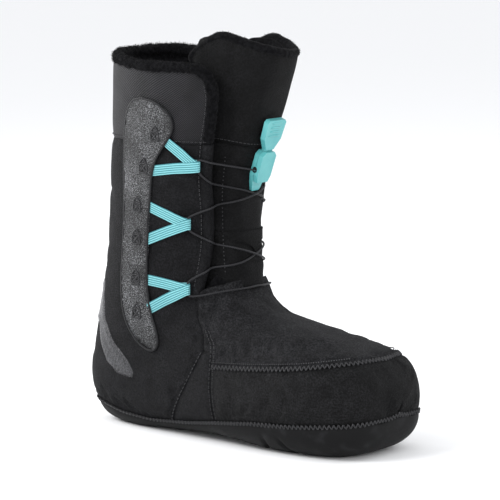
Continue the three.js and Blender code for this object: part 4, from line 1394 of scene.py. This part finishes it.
def edge_bend(z, side):
    """Where the lace turns round the padded front edge at a height."""
    x = np.interp(z, [p[1] for p in FRONT_EDGE], [p[0] for p in FRONT_EDGE])
    edge = side_place(x, z, side, 3.5)
    return np.array([edge[0] + 5.7, edge[1] + side * 2.2, z])


def sleeve_end(index, side, end):
    """The top (1) or bottom (-1) of the fold of webbing at a loop's apex."""
    x, z = LOOPS[index][1]
    return side_place(x + 0.3, z + end * (SLEEVE_LENGTH / 2 + 0.8), side, LACE_DEPTH)


def over_instep():
    low = LOOPS[2][1]
    start = (-12, low[1] - SLEEVE_LENGTH / 2 - 1.2)
    halves = [[side_place(start[0] + (20 - start[0]) * t, start[1] + 6 * t, side,
                          -2.1 + 3.2 * smooth(0.2, 0.8, t))
               for t in (0, 0.25, 0.45, 0.65, 0.8, 0.92)] for side in (-1, 1)]
    return [*halves[0], form_point(np.array([7.33, 0.0]), 1.1), *halves[1][::-1]]


lace_points = []
lace_stops = []


def thread_through(points, body):
    """Adds points to the lace's route; the last one ends a stretch, and moves with a body."""
    lace_points.extend(points)
    lace_stops.append((len(lace_points) - 1, body))


def through_sleeve(index, side, down):
    ends = [sleeve_end(index, side, 1), sleeve_end(index, side, -1)]
    thread_through(ends if down else ends[::-1], "liner")


def cross_over(first, second, side, lift):
    """From a loop on one side over the tongue to a loop on the other side."""
    leave_end = -1 if second > first else 1
    leave = sleeve_end(first, side, leave_end)
    arrive = sleeve_end(second, -side, -leave_end)
    near = edge_bend(leave[2] * 0.78 + arrive[2] * 0.22, side)
    far = edge_bend(leave[2] * 0.22 + arrive[2] * 0.78, -side)
    over = over_tongue(near, far, lift)
    thread_through([near], "liner")
    thread_through(over[:5], "tongue")
    thread_through([*over[5:], far], "liner")


def to_port(side):
    """Points from the edge of the boot to the lock, and the lock's port."""
    port = lock_point(side * 8.8, 0, LACE_OUT)
    top = sleeve_end(0, side, 1)
    bend = edge_bend(port[2] * 0.25 + top[2] * 0.75, side)
    return [bend, *over_tongue(bend, port, 0), port]


run = to_port(-1)[::-1]
thread_through([lock_point(-2.6, 18, LACE_OUT)], "handle")
thread_through([lock_point(-2.6, 3, LACE_OUT), run[0]], "lock")
thread_through(run[1:6], "tongue")
thread_through(run[6:], "liner")
through_sleeve(0, -1, True)
cross_over(0, 1, -1, 0)
through_sleeve(1, 1, True)
cross_over(1, 2, 1, 0)
through_sleeve(2, -1, True)
thread_through(over_instep(), "liner")
through_sleeve(2, 1, False)
cross_over(2, 1, 1, STRAND_GAP)
through_sleeve(1, -1, False)
cross_over(1, 0, -1, STRAND_GAP)
through_sleeve(0, 1, False)
run = to_port(1)
thread_through([run[0]], "liner")
thread_through(run[1:6], "tongue")
thread_through(run[6:], "lock")
thread_through([lock_point(2.6, 3, LACE_OUT), lock_point(2.6, 18, LACE_OUT)], "handle")

LACE_STEP = 0.8
LACE_PARTS = 24  # of each span between two points of the route
corners = np.array(lace_points)
u = np.linspace(0, len(corners) - 1, LACE_PARTS * (len(corners) - 1) + 1)
dense = np.stack([spline(column, u) for column in corners.T], axis=1)
run = run_along(dense)
lace_path = resample(dense, LACE_STEP)
for _ in range(10):
    lace_path[1:-1] = (lace_path[:-2] + 2 * lace_path[1:-1] + lace_path[2:]) / 4
places = np.round(run[::LACE_PARTS] / run[-1] * (len(lace_path) - 1)).astype(int)

ORDER = ["liner", "tongue", "lock", "handle"]
for number, ((k, first), (m, second)) in enumerate(zip(lace_stops, lace_stops[1:])):
    path = lace_path[places[k]:places[m] + 1]
    if len(path) < 3:
        continue
    rides = first if first == second else None
    piece = make(f"lace_{number + 1:02d}", sweep(path, carried(path), circle(LACE_RADIUS, 10)),
                 "lace", body=rides, replaces=["lace"])
    if rides is None:
        ends = [(first, path[0]), (second, path[-1])]
        ends.sort(key=lambda end: ORDER.index(end[0]))
        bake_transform(piece)

# --------------------------------------------------------------- seam threads

GUSSET_FRONT_SEAM = [(1, 82), (8, 73), (9.4, 66), (9.2, 40), (11.5, 19)]

for label, side in SIDES:
    flip = (1, side)
    vamp_row = trace([(x, z + 3.4) for x, z in curve_through(VAMP_SEAM, 1.5)])[:-3]
    form_stitches(f"vamp_stitches_{label}", vamp_row * flip, 0.0, length=1.2, gap=0.6, radius=0.42)
    overlock(f"vamp_overlock_{label}", vamp_line * flip)
    overlock(f"sole_overlock_{label}", sole_line * flip)
    for place, offset in (("back", -1.6), ("front", 1.6)):
        shifted = trace([(x + offset, z) for x, z in resample(GUSSET_FRONT_SEAM, 1.5)])
        form_stitches(f"gusset_stitches_{place}_{label}", shifted * flip, 0.0, length=2.0, gap=1.2)
    form_stitches(f"gusset_back_stitches_{label}",
                  trace([(x - 1.5, z + 0.8) for x, z in gusset_back]) * flip, 0.0)
    form_stitches(f"cuff_stitches_{label}",
                  trace([(x, z + 2.0) for x, z in cuff_seam]) * flip, -0.3, length=2.0, gap=1.2)
    edge_line = trace([(x - 4.2, z) for x, z in curve_through([*FRONT_EDGE[3:], *CUFF_EDGE[1:4]],
                                                              1.5)])
    form_stitches(f"edge_stitches_{label}", edge_line * flip, -0.7, length=2.0, gap=1.2)

# ------------------------------------------------------------ floor and light

FLOOR_SIZE = 30  # metres
bpy.ops.mesh.primitive_plane_add(size=FLOOR_SIZE, location=(0, 0, 0))
floor = bpy.context.object
floor.name = "floor"
paper = bpy.data.materials.new("paper")
paper.use_nodes = True
paper_shader = paper.node_tree.nodes["Principled BSDF"]
paper_shader.inputs["Base Color"].default_value = (0.93, 0.932, 0.936, 1)
paper_shader.inputs["Roughness"].default_value = 1.0
floor.data.materials.append(paper)

world = bpy.data.worlds.new("studio")
bpy.context.scene.world = world
world.use_nodes = True
sky = world.node_tree.nodes["Background"]
sky.inputs["Color"].default_value = (0.97, 0.98, 1.0, 1)
sky.inputs["Strength"].default_value = 1.0


def area_light(name, place, size, power):
    light = bpy.data.lights.new(name, "AREA")
    light.size = size
    light.energy = power
    lamp = bpy.data.objects.new(name, light)
    lamp.location = place
    lamp.rotation_euler = (Vector((0, 0, 0.15)) - Vector(place)).to_track_quat("-Z", "Y").to_euler()
    bpy.context.collection.objects.link(lamp)


area_light("key", (-0.6, -1.2, 1.3), 0.7, 17)
area_light("left", (-1.5, -0.2, 0.6), 0.6, 12)
area_light("front", (1.3, -0.7, 0.6), 0.6, 6)
area_light("rim", (0.7, 1.3, 1.0), 0.8, 5)
bpy.context.scene.view_settings.view_transform = "Standard"
